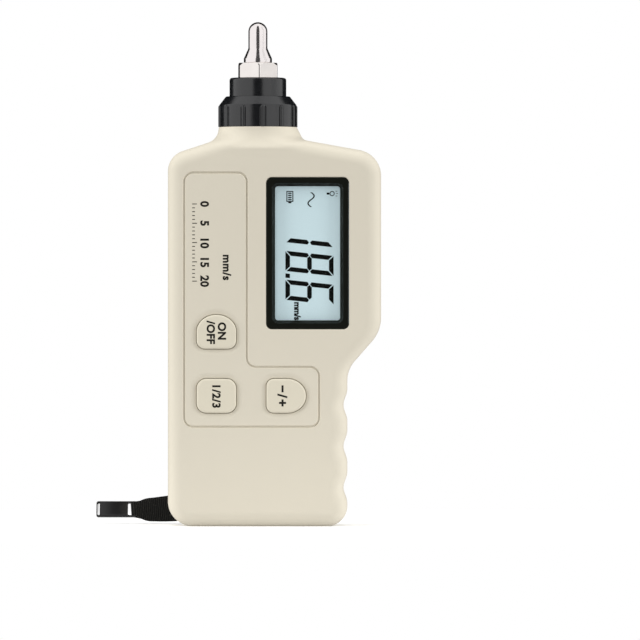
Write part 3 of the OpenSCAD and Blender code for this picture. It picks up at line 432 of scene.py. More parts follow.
def case_half(distance, plates):
    """Half of the case's skin, moved in by distance: rim, neck and the flat face with its holes.

    The rim rises straight from the parting line and turns a quarter ellipse into the face. On the
    neck the ellipse narrows to a ridge, and the two sides are joined by rows across.
    """
    outline, flat = case_outline(distance), case_outline(EDGE_R)
    face = flat.copy()
    near = np.concatenate([end_shares, np.ones(len(outline) - 2*len(end_shares)), end_shares[::-1]])
    top_z, arch_z = case_h - distance, case_h - ARCH_DROP_SHARE*NECK_H
    # On each side of the neck the face's edge runs in a curve from the ridge to the shoulder.
    for side, edge in ((-1, face[:flat_from + 1]), (1, face[:-flat_from - 2:-1])):
        foot_x = probe_x + side*NECK_FLAT
        arch_x = foot_x + (edge[-1, 0] - foot_x)*ARCH_SHARE
        foot, pull, draw = np.array([(foot_x, top_z), (foot_x, arch_z), (arch_x, arch_z)])
        edge[:] = bezier(foot, pull, draw, edge[-1], end_shares)
    # Every column of the rim rises straight, and then its ellipse turns in to the face.
    straight = 2*SEAM_BEVEL + (half_d - EDGE_R - 2*SEAM_BEVEL)*smooth(near)
    depth = NECK_R + (half_d - NECK_R)*smooth(near/DEPTH_BLEND_SHARE) - distance
    angle = np.radians(np.linspace(0, 90, EDGE_STEPS + 1))[:, None]
    shares = np.vstack([[[0 if distance else SEAM_SHARE], [0], [0]], 1 - np.cos(angle)])
    heights = np.vstack([0*near, 0*near + SEAM_BEVEL, straight - SEAM_BEVEL/2,
                         straight + (depth - straight)*np.sin(angle)])
    spots = outline + (face - outline)*shares[:, :, None]
    rim = np.stack([spots[..., 0], -heights, spots[..., 1]], -1)
    # The flat begins a little inside the rim, rows bridge the neck, and a round mouth takes the sleeve.
    inner = np.arange(flat_from, len(face) - flat_from)
    from_end = np.minimum(inner - inner[0], inner[-1] - inner)[:, None]
    ring = face[inner] + (case_outline(EDGE_R + FLAT_BORDER) - flat)[inner]*smooth(from_end/BORDER_LEAD)
    left, right = rim[-1, :flat_from + 1, None], rim[-1, :-flat_from - 2:-1, None]
    bridge = left + (right - left)*np.linspace(0, 1, BRIDGE_STEPS + 1)[None, :, None]
    hole = np.vstack([ring, bridge[-1, 1:-1, ::2][::-1]])
    end = np.vstack([rim[:, 0], bridge[0, 1:-1], rim[::-1, -1]])
    mouth = unit(end[:, :2] - [probe_x, 0])*SLEEVE_HOLE_R + [probe_x, 0]
    mouth = np.column_stack([mouth, end[:, 2]])
    skins = [grid(rim), grid(np.stack([rim[-1, inner], lift(ring, distance - half_d)])), grid(bridge),
             grid(np.stack([end, mouth])), plate([hole] + plates, distance - half_d)]
    return skins, rim, mouth


KEY_W, KEY_H = 12.4, 10.7
KEY_COLUMN, RANGE_STEP = 15.3, 21.9
MEASURE_Z, MODE_Z = 61.1, 41.0
MEASURE_DOME, MEASURE_R = 5.35, 2.6
RANGE_DOME, RANGE_R = 5.9, 2.3
MODE_R = 3.0
KEY_RISE, KEY_GAP = 0.5, 0.15
DISH_IN, DISH_OUT, DISH_DEPTH, DISH_LIP, DISH_MARGIN = 0.35, 2.0, 0.32, 0.2, -0.15
OPENING_GAP, OPENING_ROUND, OPENING_MARGIN = 0.1, 0.35, 0.75
BEZEL_FLANGE, BEZEL_R = 1.2, 1.7
GROOVE_W, GROOVE_SHIFT, GROOVE_DEPTH, GROOVE_WALL, GROOVE_R = 0.92, 0.08, 0.52, 0.8, 2.9
GROOVE_SIDE, GROOVE_Z, GROOVE_BEZEL = (5.1, 8.8), (31.2, 50.1), (6.1, 1.6)
GROOVE_STEPS, OPENING_STEPS = 8, 10
measure_at = np.array([left_x + KEY_COLUMN, MEASURE_Z])
mode_at = np.array([left_x + KEY_COLUMN, MODE_Z])
range_at = mode_at + [RANGE_STEP, 0]


def corner(x, z, radius, start, steps=12):
    """A quarter of a circle about (x, z), from its start angle on."""
    angle = np.radians(np.linspace(start, start + 90, steps))
    return np.column_stack([x + radius*np.cos(angle), z + radius*np.sin(angle)])


def domed(width, height, dome, radius, grow):
    """A key's outline: an elliptic top on a straight base with two round corners, grown by grow."""
    angle = np.radians(np.linspace(0, 180, 36))
    top = np.column_stack([(width/2 + grow)*np.cos(angle), height/2 - dome + (dome + grow)*np.sin(angle)])
    return np.vstack([top, corner(radius - width/2, radius - height/2, radius + grow, 180),
                      corner(width/2 - radius, radius - height/2, radius + grow, 270)])


def measure_outline(grow):
    """The measuring key, domed at its top."""
    return measure_at + domed(KEY_W, KEY_H, MEASURE_DOME, MEASURE_R, grow)


def range_outline(grow):
    """The range key: a domed outline turned a quarter, so that its dome is on the right."""
    upright = domed(KEY_H, KEY_W, RANGE_DOME, RANGE_R, grow)
    return range_at + np.column_stack([upright[:, 1], -upright[:, 0]])


def mode_outline(grow):
    """The mode key: a rectangle with four round corners."""
    x, z, radius = KEY_W/2 - MODE_R, KEY_H/2 - MODE_R, MODE_R + grow
    return mode_at + np.vstack([corner(x, z, radius, 0), corner(-x, z, radius, 90),
                                corner(-x, -z, radius, 180), corner(x, -z, radius, 270)])


def box_path(low, high, radius):
    """A rectangle's corners from the top left and down, each with its radius."""
    return np.array([(low[0], high[1], radius), (low[0], low[1], radius),
                     (high[0], low[1], radius), (high[0], high[1], radius)])


bezel_low, bezel_high = (spot[[0, 2]] for spot in corners("display_bezel"))
bezel_path = box_path(bezel_low + BEZEL_FLANGE, bezel_high - BEZEL_FLANGE, BEZEL_R)
notch_x, groove_top = bezel_path[0, :2] + [-GROOVE_BEZEL[0], GROOVE_BEZEL[1]]
groove_x0, groove_x1 = left_x + GROOVE_SIDE[0], grip_x - GROOVE_SIDE[1]
groove_path = np.array([(groove_x0, groove_top), (groove_x0, GROOVE_Z[0]), (groove_x1, GROOVE_Z[0]),
                        (groove_x1, GROOVE_Z[1]), (notch_x, GROOVE_Z[1]), (notch_x, groove_top)])
groove_path = np.column_stack([groove_path, np.full(len(groove_path), GROOVE_R)])

# Each row of a sunk form is an outline grown by the first number and laid at the second.
groove_share = np.array([-1, -0.87, -0.7, -0.5, -0.25, 0, 0.25, 0.5, 0.7, 0.87, 1])
groove_at = GROOVE_W/2*groove_share + GROOVE_SHIFT
groove_y = front_y + GROOVE_DEPTH*smooth((1 - np.abs(groove_share))/GROOVE_WALL)
groove_rows = [rounded(inset(groove_path, at), GROOVE_STEPS) for at in groove_at]
inner_y = front_y + WALL
dish_share = np.concatenate([[DISH_MARGIN], np.linspace(0, 1, 9)])
dish_at = DISH_OUT + (DISH_IN - DISH_OUT)*dish_share
lip = np.linspace(0, math.pi/2, 5)[1:]
lip_at = DISH_IN + (KEY_GAP - DISH_IN)*np.sin(lip)
lip_y = front_y + DISH_DEPTH + DISH_LIP*(1 - np.cos(lip))
key_at = np.concatenate([dish_at, lip_at, [KEY_GAP]])
key_y = np.concatenate([front_y + DISH_DEPTH*smooth(dish_share), lip_y, [inner_y]])
key_outlines = (measure_outline, mode_outline, range_outline)
key_rows = [[outline(at) for at in key_at] for outline in key_outlines]
edge = np.linspace(0, math.pi/2, 6)
edge_at = OPENING_GAP + OPENING_ROUND*(1 - np.sin(edge))
opening_at = np.concatenate([[OPENING_MARGIN], edge_at, [OPENING_GAP]])
opening_y = np.concatenate([[front_y], front_y + OPENING_ROUND*(1 - np.cos(edge)), [inner_y]])
opening_rows = [rounded(inset(bezel_path, -at), OPENING_STEPS) for at in opening_at]


def sunk(rows, depths):
    """Outlines at their depths, skinned into a dish, a groove or the wall of a hole."""
    return grid(np.stack([lift(row, depth) for row, depth in zip(rows, depths)]), loop=True)


outer, outer_rim, outer_mouth = case_half(0, [groove_rows[0], opening_rows[0]])
inner, inner_rim, inner_mouth = case_half(WALL, [rows[-1] for rows in key_rows] + [opening_rows[-1]])
island = plate([groove_rows[-1]] + [rows[0] for rows in key_rows], front_y)
ends_join = [grid(np.stack([np.stack([outer_rim[0, i], outer_mouth[i]]),
                            np.stack([inner_rim[0, i], inner_mouth[i]])])) for i in (0, -1)]
shell_patches = [*outer, *inner, island, sunk(groove_rows, groove_y), sunk(opening_rows, opening_y),
                 *(sunk(rows, key_y) for rows in key_rows), *ends_join,
                 grid(np.stack([outer_rim[0], inner_rim[0]])), grid(np.stack([outer_mouth, inner_mouth]))]


def moulded(name, base, roughness, specular):
    """Plastic from a spark-eroded mould: a fine grain, faint flow marks and a patchy gloss."""
    finish = Finish(name, {}, specular)
    flow, fine = finish.noise(32, 3.0, (1, 1, 0.45)), finish.noise(4200)
    dark, light = (tuple(np.array(base[:3])*share) + (1.0,) for share in (0.955, 1.03))
    finish.feed("Base Color", finish.mix(flow*0.75 + fine*0.25, dark, light))
    finish.polish(0.14, roughness - 0.07, 420)
    finish.feed("Normal", finish.bump(fine*0.7 + finish.noise(1700)*0.3, 0.00002))
    return finish


plastic = moulded("case_plastic", colour(211, 204, 187), 0.44, 0.5)
piece("front_housing", shell_patches, "case", plastic, ["front_shell"])


# Back shell and battery door: the same plastic. The back shell holds the battery box, its rails and
# the strap's anchor, and is screwed on from behind; the door slides down and lifts off.
def unfold(work, most=60):
    """Joins triangles that lie folded over each other on a flat and splits the flat anew."""
    for _ in range(most):
        folded = [edge for edge in work.edges if len(edge.link_faces) == 2
                  and edge.link_faces[0].normal.dot(edge.link_faces[1].normal) < -0.999]
        if not folded:
            break
        bmesh.ops.dissolve_edges(work, edges=folded[:1], use_verts=False)
        work.normal_update()
    many_sided = [face for face in work.faces if len(face.verts) > 4]
    bmesh.ops.triangulate(work, faces=many_sided, ngon_method="EAR_CLIP")


SOFT_ANGLE = 28


def softened(node, name, finish, body, width):
    """A CAD node's mesh, merged, its flats made whole and its sharp edges given a small round."""
    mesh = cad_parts[node].data.copy()
    work = bmesh.new()
    work.from_mesh(mesh)
    bmesh.ops.remove_doubles(work, verts=work.verts, dist=2e-6)
    work.normal_update()
    unfold(work)
    bmesh.ops.dissolve_limit(work, angle_limit=math.radians(0.4), verts=work.verts, edges=work.edges)
    work.to_mesh(mesh)
    work.free()
    mesh.shade_smooth()
    made = mounted(name, mesh, body, finish, [node])
    bevel = made.modifiers.new("round", "BEVEL")
    bevel.width, bevel.segments = width*MM, 2
    bevel.limit_method, bevel.angle_limit = "ANGLE", math.radians(SOFT_ANGLE)
    bevel.harden_normals = True
    weigh = made.modifiers.new("flats", "WEIGHTED_NORMAL")
    weigh.keep_sharp = True


softened("rear_shell", "rear_housing", plastic, "case", 0.12)
softened("battery_door", "battery_cover", plastic, "door", 0.12)


# Keys: three moulded keys of the case's plastic, a shade lighter, with softly rounded crowns.
# Their marks are printed on and go down with them.
CROWN_IN, CROWN_DROP, CROWN_REST, SIDE_ROW = 0.75, 0.42, 0.3, 0.2
FLANGE_GROW, FLANGE_T, FLANGE_PLAY = 0.9, 0.65, 0.05
key_finish = moulded("key_plastic", colour(213, 206, 187), 0.42, 0.45)
key_top = front_y - KEY_RISE
flange_y = inner_y + FLANGE_PLAY
crown = np.linspace(0, math.pi/2, 7)
crown_at = np.concatenate([[0, 0], CROWN_IN*(1 - np.cos(crown)), [CROWN_IN + CROWN_REST]])
crown_y = np.concatenate([[flange_y, front_y + SIDE_ROW], key_top + CROWN_DROP*(1 - np.sin(crown)),
                          [key_top]])
for key, outline in zip(("measure", "mode", "range"), key_outlines):
    rows = [outline(-at) for at in crown_at]
    flange = outline(FLANGE_GROW)
    piece(key + "_key_cap", [sunk(rows, crown_y), plate([rows[-1]], key_top),
                             sunk([rows[0], flange, flange], [flange_y, flange_y, flange_y + FLANGE_T]),
                             plate([flange], flange_y + FLANGE_T)],
          key + "_button", key_finish, [key + "_key"])


# Printing: black ink pad printed on the case and the keys, turned a quarter so that it reads with
# the probe pointing left. It is plain numbers on a scale, and plain marks on the keys.
INK_T = 0.015
CAP_SHARE = 0.73
ink = Finish("printed_ink", {"Roughness": 0.6}, 0.2)
ink.paint(900, (26, 25, 22), (40, 38, 34))


def lettering(words, depth, weight=0.055):
    """Words as thin solids: (text, x, z, letter height, spacing), centred there and read downwards."""
    patches = []
    turn = np.array([(0, 1, 0), (0, 0, -1), (-1, 0, 0)])
    for text, x, z, height, spacing in words:
        curve = bpy.data.curves.new("words", "FONT")
        curve.body, curve.size, curve.offset = text, height/CAP_SHARE, height*weight
        curve.align_x = curve.align_y = "CENTER"
        curve.space_character, curve.extrude, curve.resolution_u = spacing, INK_T, 4
        holder = bpy.data.objects.new("words", curve)
        mesh = bpy.data.meshes.new_from_object(holder)
        points = np.array([spot.co for spot in mesh.vertices])
        points[:, 1] -= (points[:, 1].min() + points[:, 1].max())/2
        patches += [(points @ turn.T + [x, depth, z], [list(face.vertices) for face in mesh.polygons])]
        bpy.data.objects.remove(holder)
        bpy.data.meshes.remove(mesh)
    return patches


def printed(name, patches, body, finish):
    """Thin printed or switched marks, made one object."""
    mesh = joined(name, patches)
    healed(mesh, 2e-7)
    mounted(name, mesh, body, finish)


def bars(places, depth):
    """Upright slabs from (x0, x1, z0, z1), each a closed box through depth."""
    places = np.array(places)
    x, z = places[:, [0, 1, 1, 0]], places[:, [2, 2, 3, 3]]
    near, far = (np.stack([x, np.full(x.shape, y), z], -1) for y in (depth - INK_T, depth + INK_T))
    box = np.array([(0, 1, 2, 3), (7, 6, 5, 4), (0, 4, 5, 1), (1, 5, 6, 2), (2, 6, 7, 3), (3, 7, 4, 0)])
    points = np.concatenate([near, far], 1).reshape(-1, 3)
    return points, (np.arange(len(places))[:, None, None]*8 + box).reshape(-1, 4)


SCALE_X, SCALE_Z, NUMBERS, NUMBER_H = left_x + 11.6, (101.2, 77.0), (0, 5, 10, 15, 20), 2.6
TICK_X, TICK_W, TICKS, SHORT_TICK, LONG_TICK = SCALE_X - 3.9, 0.26, 21, 0.85, 1.5
WORD_H = 2.5
scale = [(str(number), SCALE_X, z, NUMBER_H, 1.02) for number, z in zip(NUMBERS, np.linspace(*SCALE_Z, 5))]
scale += [("mm/s", left_x + 18.6, 81.3, WORD_H, 1.1)]
ticks = [(TICK_X, TICK_X + (SHORT_TICK if count % 5 else LONG_TICK), z - TICK_W/2, z + TICK_W/2)
         for count, z in enumerate(np.linspace(*SCALE_Z, TICKS))]
printed("scale_print", lettering(scale, front_y) + [bars(ticks, front_y)], "case", ink)
key_words = {"measure": [("ON", *(measure_at + [1.75, 0.2]), WORD_H, 1.05),
                         ("/OFF", *(measure_at - [1.75, 0.2]), WORD_H, 1.05)],
             "mode": [("1/2/3", *mode_at, WORD_H, 1.1)],
             "range": [("−/+", *(range_at - [1.2, 0]), 2.9, 1.25)]}
for key, words in key_words.items():
    printed(key + "_key_mark", lettering(words, key_top), key + "_button", ink)


# Display: a black surround with sloped inner edges, a clear window behind it, and the liquid
# crystal cell with its dark segments. The light guide, the strip and the board lie behind.
BORDER, GLASS_R = 2.7, 0.9
FRAME_ROUND, FRAME_MARGIN, FRAME_BACK = 0.32, 0.5, 12.35
SLOPE, SLOPE_DEPTH, SLOPE_ROUND, SLOPE_MARGIN = 0.9, 1.4, 0.2, 0.45
glass_path = box_path(bezel_path[1, :2] + BORDER, bezel_path[3, :2] - BORDER, GLASS_R)
bend = np.linspace(0, math.pi/2, 6)
frame_at = np.concatenate([[0], FRAME_ROUND*(1 - np.cos(bend)), [FRAME_MARGIN]])
frame_y = np.concatenate([[-FRAME_BACK], front_y + FRAME_ROUND*(1 - np.sin(bend)), [front_y]])
slope_at = np.concatenate([[-SLOPE - SLOPE_MARGIN], -SLOPE - SLOPE_ROUND*(1 - np.sin(bend)), [0, 0]])
slope_y = np.concatenate([[front_y], front_y + SLOPE_ROUND*(1 - np.cos(bend)),
                          [front_y + SLOPE_DEPTH, -FRAME_BACK]])
frame_rows = [rounded(inset(bezel_path, at), OPENING_STEPS) for at in frame_at]
slope_rows = [rounded(inset(glass_path, at), OPENING_STEPS) for at in slope_at]
gloss = Finish("bezel_plastic", {}, 0.14)
gloss.paint(140, (17, 19, 14), (23, 25, 20))
gloss.polish(0.1, 0.38, 700)
gloss.grain(2500, 0.000006)
surround = sunk(frame_rows + slope_rows + frame_rows[:1], np.concatenate([frame_y, slope_y, frame_y[:1]]))
piece("display_surround", [surround], "case", gloss, ["display_bezel"], sharp=35)

clear = Finish("window_clear", {"Base Color": (0.02, 0.02, 0.02, 1), "Alpha": 0.05})
clear.polish(0.03, 0.03, 60)
clear.material.surface_render_method = "BLENDED"
dressed(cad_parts["display_window"].data, clear)

LINE_PITCH = 0.5
# The cell glows faintly. The glow stands for its backlight and is partly painted light: it lifts the cell
# where the window and the surround shade it.
cell = Finish("lcd_glass", {"Roughness": 0.35, "Emission Strength": 0.29}, 0.3)
cell_shade = cell.mix(cell.noise(45, 1.0), colour(188, 211, 217), colour(197, 218, 223))
cell_rows = (cell.axes("Z")[0]*(2*math.pi/(LINE_PITCH*MM))).apply("SINE")*0.25 + 0.5
cell_lines = cell.mix(cell_rows, cell_shade, colour(195, 216, 221))
cell.feed("Base Color", cell_lines)
cell.feed("Emission Color", cell_lines)
dressed(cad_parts["lcd_glass"].data, cell)

DIGIT_W, DIGIT_H, STROKE, CUT = 6.35, 15.1, 1.42, 0.16
SLANT = 0.107
# A digit is the segments that are on, and the height of its left edge.
DIGITS = (("bc", 95.6), ("abcdefg", 86.55), ("acdefg", 77.5))
POINT_Z, POINT_W, POINT_H = 79.45, 1.35, 1.4
lcd_x, lcd_y = glass_path[1, 0], corners("lcd_glass")[0][1] - 2*INK_T
digit_x = lcd_x + 3.25
segment_finish = Finish("lcd_segments", {"Roughness": 0.6}, 0.1)
segment_finish.paint(300, (8, 11, 9), (16, 19, 17))
half_h, half_t = DIGIT_H/2, STROKE/2
bar_x0, bar_x1 = STROKE + CUT, DIGIT_W - STROKE - CUT
top_bar = np.array([(CUT, DIGIT_H), (DIGIT_W - CUT, DIGIT_H), (bar_x1, DIGIT_H - STROKE),
                    (bar_x0, DIGIT_H - STROKE)])
left_bar = np.array([(0, DIGIT_H - CUT*2), (STROKE, DIGIT_H - STROKE - CUT*1.5),
                     (STROKE, half_h + half_t + CUT/2), (half_t, half_h + CUT),
                     (0, half_h + STROKE/3 + CUT)])
middle_bar = np.array([(half_t + CUT, half_h), (bar_x0, half_h + half_t), (bar_x1, half_h + half_t),
                       (DIGIT_W - half_t - CUT, half_h), (bar_x1, half_h - half_t),
                       (bar_x0, half_h - half_t)])
lowered, mirrored = np.array([1, -1]), np.array([-1, 1])
segments = {"a": top_bar, "d": top_bar*lowered + [0, DIGIT_H],
            "f": left_bar, "e": left_bar*lowered + [0, DIGIT_H],
            "b": left_bar*mirrored + [DIGIT_W, 0], "c": left_bar*-1 + [DIGIT_W, DIGIT_H], "g": middle_bar}


def slab(outline):
    """A flat outline in X and Z as a thin closed solid on the cell."""
    ring = np.stack([lift(outline, lcd_y - INK_T), lift(outline, lcd_y + INK_T)])
    count = len(outline)
    faces = [list(range(count)), list(range(2*count - 1, count - 1, -1))]
    faces += [[i, i + count, (i + 1) % count + count, (i + 1) % count] for i in range(count)]
    return ring.reshape(-1, 3), faces


def on_cell(shape, z):
    """A shape drawn left to right and bottom to top, turned to read downwards from a height on the cell."""
    return np.column_stack([digit_x + shape[:, 1], z - shape[:, 0] - SLANT*shape[:, 1]])


def ring_marks(centre, radius, width, count=20):
    """A small ring as a row of short slabs."""
    angle = np.linspace(0, 2*math.pi, count + 1)
    arms = np.stack([np.cos(angle), np.sin(angle)], 1)
    outside, inside = centre + radius*arms, centre + (radius - width)*arms
    return [slab(np.array([outside[i], outside[i + 1], inside[i + 1], inside[i]])) for i in range(count)]


# The small signs are rows of (x0, x1, z0, z1): a battery and a lamp from their own points, and a wave.
battery = [(0, 0.3, 0, 3.4), (1.87, 2.17, 0, 3.4), (0, 2.17, 3.12, 3.4), (0, 2.17, 0, 0.28),
           (0.6, 1.57, -0.42, 0)] + [(0.55, 1.62, z - 0.2, z + 0.2) for z in np.linspace(2.7, 0.7, 4)]
lamp_sign = [(-1.7, -0.85, -0.32, 0.32), (1.05, 1.65, 0.67, 0.83), (1.05, 1.65, -0.83, -0.67),
             (1.25, 1.85, -0.08, 0.08)]
lamp_at = np.array([lcd_x + 17.9, 104.5])
wave = np.linspace(0, 2*math.pi, 33)
wave_x, wave_z = lcd_x + 11.3 + 0.95*np.sin(wave), 104.9 - wave/(2*math.pi)*4.6
wave_x = np.sort(np.stack([wave_x[:-1], wave_x[1:]], 1)) + [-0.19, 0.19]
icon = np.vstack([np.add(battery, np.repeat([lcd_x + 3.55, 101.9], 2)),
                  np.add(lamp_sign, np.repeat(lamp_at, 2)),
                  np.column_stack([wave_x, wave_z[1:], wave_z[:-1]])])
point = np.array([(0, 0), (POINT_W, 0), (POINT_W, POINT_H), (0, POINT_H)])
marks = [slab(on_cell(segments[name], z)) for names, z in DIGITS for name in names]
marks += [slab(on_cell(point, POINT_Z)), *ring_marks(lamp_at, 0.8, 0.26), bars(icon, lcd_y)]
marks += lettering([("mm/s", lcd_x + 7.0, 67.6, 1.95, 0.95)], lcd_y, 0.06)
printed("lcd_segments", marks, "case", segment_finish)


# Collar, sleeve and sensor base: a ribbed collar of black plastic clamps the sleeve, and the
# steel hexagon of the sensor stands on the sleeve's top.
COLLAR_R, COLLAR_BEVEL = 12.6, (2.5, 2.7)
COLLAR_STEPS, ROW_STEP = 720, 0.22
RIB_R, RIB_RISE, RIBS, RIB_TURN = 0.62, 0.42, 12, math.radians(8 - 90)
VALLEY_DEPTH, VALLEY_W = 0.14, 0.22
SLEEVE_R, SLEEVE_IN, SLEEVE_EDGE = 8.95, 7.05, 0.8
AXIS_R = 0.001
black = Finish("collar_plastic", {}, 0.8)
black.paint(150, (17, 18, 20), (25, 26, 28))
black.polish(0.08, 0.17, 600)
black.grain(3600, 0.000012)


def about_probe(radius, angle, height):
    """Points at a radius, an angle and a height about the probe's axis."""
    return np.stack(np.broadcast_arrays(probe_x + radius*np.cos(angle), radius*np.sin(angle), height), -1)


def turned(profile, columns=128, phase=0.0):
    """A profile of (radius, height) rows carried round the probe's axis."""
    angle = np.linspace(0, 2*math.pi, columns, endpoint=False) + phase
    return about_probe(profile[:, :1], angle, profile[:, 1:])


def fillets(points, radii, steps=6):
    """A profile of straight runs whose corners are rounded by their radii, ends left as they are."""
    path = np.column_stack([np.asarray(points, float), radii])
    arcs = rounded(path, steps).reshape(len(path), steps + 1, 2)[1:-1].reshape(-1, 2)
    return np.vstack([path[:1, :2], arcs, path[-1:, :2]])


def divided(profile, step, most=30):
    """A profile whose long runs are cut into steps."""
    counts = np.clip(np.linalg.norm(np.diff(profile, axis=0), axis=1)/step, 1, most).astype(int)
    return np.vstack([here + (there - here)*np.linspace(0, 1, count, endpoint=False)[:, None]
                      for here, there, count in zip(profile[:-1], profile[1:], counts)] + [profile[-1:]])


base_z, top_z = (spot[2] for spot in corners("collar_ring"))
hole_r, panel_r, bevel_z = SLEEVE_R + 0.1, COLLAR_R - RIB_RISE, top_z - COLLAR_BEVEL[1]
panel = fillets([(hole_r, base_z), (panel_r, base_z), (panel_r, bevel_z),
                 (COLLAR_R - COLLAR_BEVEL[0], top_z), (hole_r, top_z), (hole_r, base_z)],
                [0, 0.15, 0.5, 0.35, 0.15, 0])
collar = turned(divided(panel, ROW_STEP), COLLAR_STEPS, RIB_TURN)
# Each rib is a rod sunk into the wall, round at its top end, with a faint valley on both sides.
spoke = collar[..., :2] - [probe_x, 0]
radius = np.linalg.norm(spoke, axis=-1)
pitch = 2*math.pi/RIBS
angle = np.arctan2(spoke[..., 1], spoke[..., 0]) - RIB_TURN
beside = (np.mod(angle + pitch/2, pitch) - pitch/2)*radius
above = np.maximum(collar[..., 2] - (bevel_z - RIB_R*1.1), 0)
bulge = np.sqrt(np.clip(RIB_R**2 - beside**2 - above**2, 0, None)) - (RIB_R - RIB_RISE)
valley = VALLEY_DEPTH*np.exp(-((np.abs(beside) - RIB_R*0.95)/VALLEY_W)**2)*(above <= 0)
radius = np.where(radius > panel_r - 0.02, radius + np.maximum(bulge, -valley), radius)
collar[..., :2] = [probe_x, 0] + unit(spoke)*radius[..., None]
piece("ribbed_collar", [grid(collar, loop=True)], "case", black, ["collar_ring"], sharp=50)

sleeve_z0, sleeve_z1 = (spot[2] for spot in corners("sensor_sleeve"))
sleeve = fillets([(SLEEVE_IN, sleeve_z0), (SLEEVE_R, sleeve_z0), (SLEEVE_R, sleeve_z1),
                  (SLEEVE_IN, sleeve_z1), (SLEEVE_IN, sleeve_z0)], [0, 0.2, SLEEVE_EDGE, 0.2, 0], 8)
piece("probe_sleeve", [grid(turned(sleeve), loop=True)], "case", black, ["sensor_sleeve"])

HEX_AF, HEX_BEVEL, HEX_TURN = 12.0, (0.8, 0.9), math.radians(4.5 - 60)
HEX_CORNER_R, HEX_EDGE = 0.8, 0.12
STUD_R, STUD_HOLE, STUD_BEVEL = 2.55, 5.6, 0.25
CAN_R, CAN_IN, CAN_BEVEL, CAN_END = 6.9, 5.6, 0.3, 5.2
steel = Finish("sensor_steel", {"Metallic": 1.0})
steel.paint(260, (232, 226, 222), (250, 245, 241))
steel.polish(0.08, 0.08, 1500, 2.0, (1, 1, 12))
hex_z0, hex_z1 = sleeve_z1, corners("sensor_base")[1][2]
# The hexagon has nine columns on each flat and nine, close together, round each corner.
side = np.radians(np.concatenate([np.linspace(-26, 26, 9), np.linspace(26.6, 33.4, 9)]))
hex_angle = (side + np.arange(6)[:, None]*math.pi/3).ravel()
off_flat = np.mod(hex_angle + math.pi/6, math.pi/3) - math.pi/6
off_corner = math.pi/6 - np.abs(off_flat)
corner_c = (HEX_AF/2 - HEX_CORNER_R)/math.cos(math.pi/6)
beside = corner_c*np.sin(off_corner)
round_r = corner_c*np.cos(off_corner) + np.sqrt(np.maximum(HEX_CORNER_R**2 - beside**2, 0))
hex_r = HEX_AF/2/np.cos(off_flat)
hex_r = np.where(beside < HEX_CORNER_R, np.minimum(hex_r, round_r), hex_r)
bevel_r = HEX_AF/2/math.cos(math.pi/6) - HEX_BEVEL[0]
hex_bevel_z = hex_z1 - HEX_BEVEL[1]*np.clip((hex_r - bevel_r)/HEX_BEVEL[0], 0, 1)
hexagon = [(CAN_IN, hex_z0), (hex_r - HEX_EDGE, hex_z0), (hex_r, hex_z0 + HEX_EDGE),
           (hex_r, hex_bevel_z - 0.1), (hex_r - 0.05, hex_bevel_z), (np.minimum(hex_r, bevel_r), hex_z1),
           (STUD_R + STUD_BEVEL, hex_z1), (STUD_R, hex_z1 - STUD_BEVEL), (STUD_R, hex_z1 - STUD_HOLE),
           (AXIS_R, hex_z1 - STUD_HOLE)]
stem = [(CAN_IN, hex_z0), (CAN_R, hex_z0 - CAN_BEVEL), (CAN_R, hex_z0 - CAN_END), (AXIS_R, hex_z0 - CAN_END)]
piece("hexagon_base", [grid(np.stack([about_probe(radius, hex_angle + HEX_TURN, z) for radius, z in rows]),
                            loop=True) for rows in (hexagon, stem)],
      "case", steel, ["sensor_base"], sharp=22)


# Contact tip: turned from steel and polished bright, with a flange, a cone and a round nose. Its
# stud screws into the hexagon, and the measured shaking goes through it.
TIP_R, FLANGE_R, FLANGE_H, CONE_H = 3.0, 4.45, 1.4, 3.2
STUD_LENGTH, STUD_PLAY = 5.4, 0.1
stud_r = STUD_R - STUD_PLAY
tip_z0, tip_z1 = corners("probe_tip")[0][2] + STUD_LENGTH, corners("probe_tip")[1][2]
dome = np.linspace(0, math.pi/2, 18)[1:-1]
profile = np.vstack([
    [(AXIS_R, tip_z0 - STUD_LENGTH), (stud_r, tip_z0 - STUD_LENGTH), (stud_r, tip_z0)],
    fillets([(STUD_R, tip_z0), (FLANGE_R, tip_z0), (FLANGE_R, tip_z0 + FLANGE_H),
             (TIP_R, tip_z0 + FLANGE_H + CONE_H), (TIP_R, tip_z1 - TIP_R)], [0, 0.25, 0.3, 1.2, 0]),
    np.column_stack([TIP_R*np.cos(dome), tip_z1 - TIP_R + TIP_R*np.sin(dome)]), [(AXIS_R, tip_z1)]])
mirror = Finish("tip_steel", {"Metallic": 1.0})
mirror.paint(200, (236, 230, 229), (247, 241, 240))
mirror.polish(0.06, 0.09, 2200, 1.0, (0.1, 0.1, 6))
piece("contact_tip", [grid(turned(profile), loop=True)], "tip", mirror, ["probe_tip"], sharp=40)


# Slider: moulded of black acetal, with rounded edges and two slots. The webbing goes round the bar at
# one end, and the narrow slot at the other end is for the loop of cord.
SLIDER_L, SLIDER_W, SLIDER_T, SLIDER_TILT = 12.6, 5.6, 1.2, math.radians(33)
SLIDER_R, SLIDER_STEPS = 0.7, 6
SLOT_W = 4.8
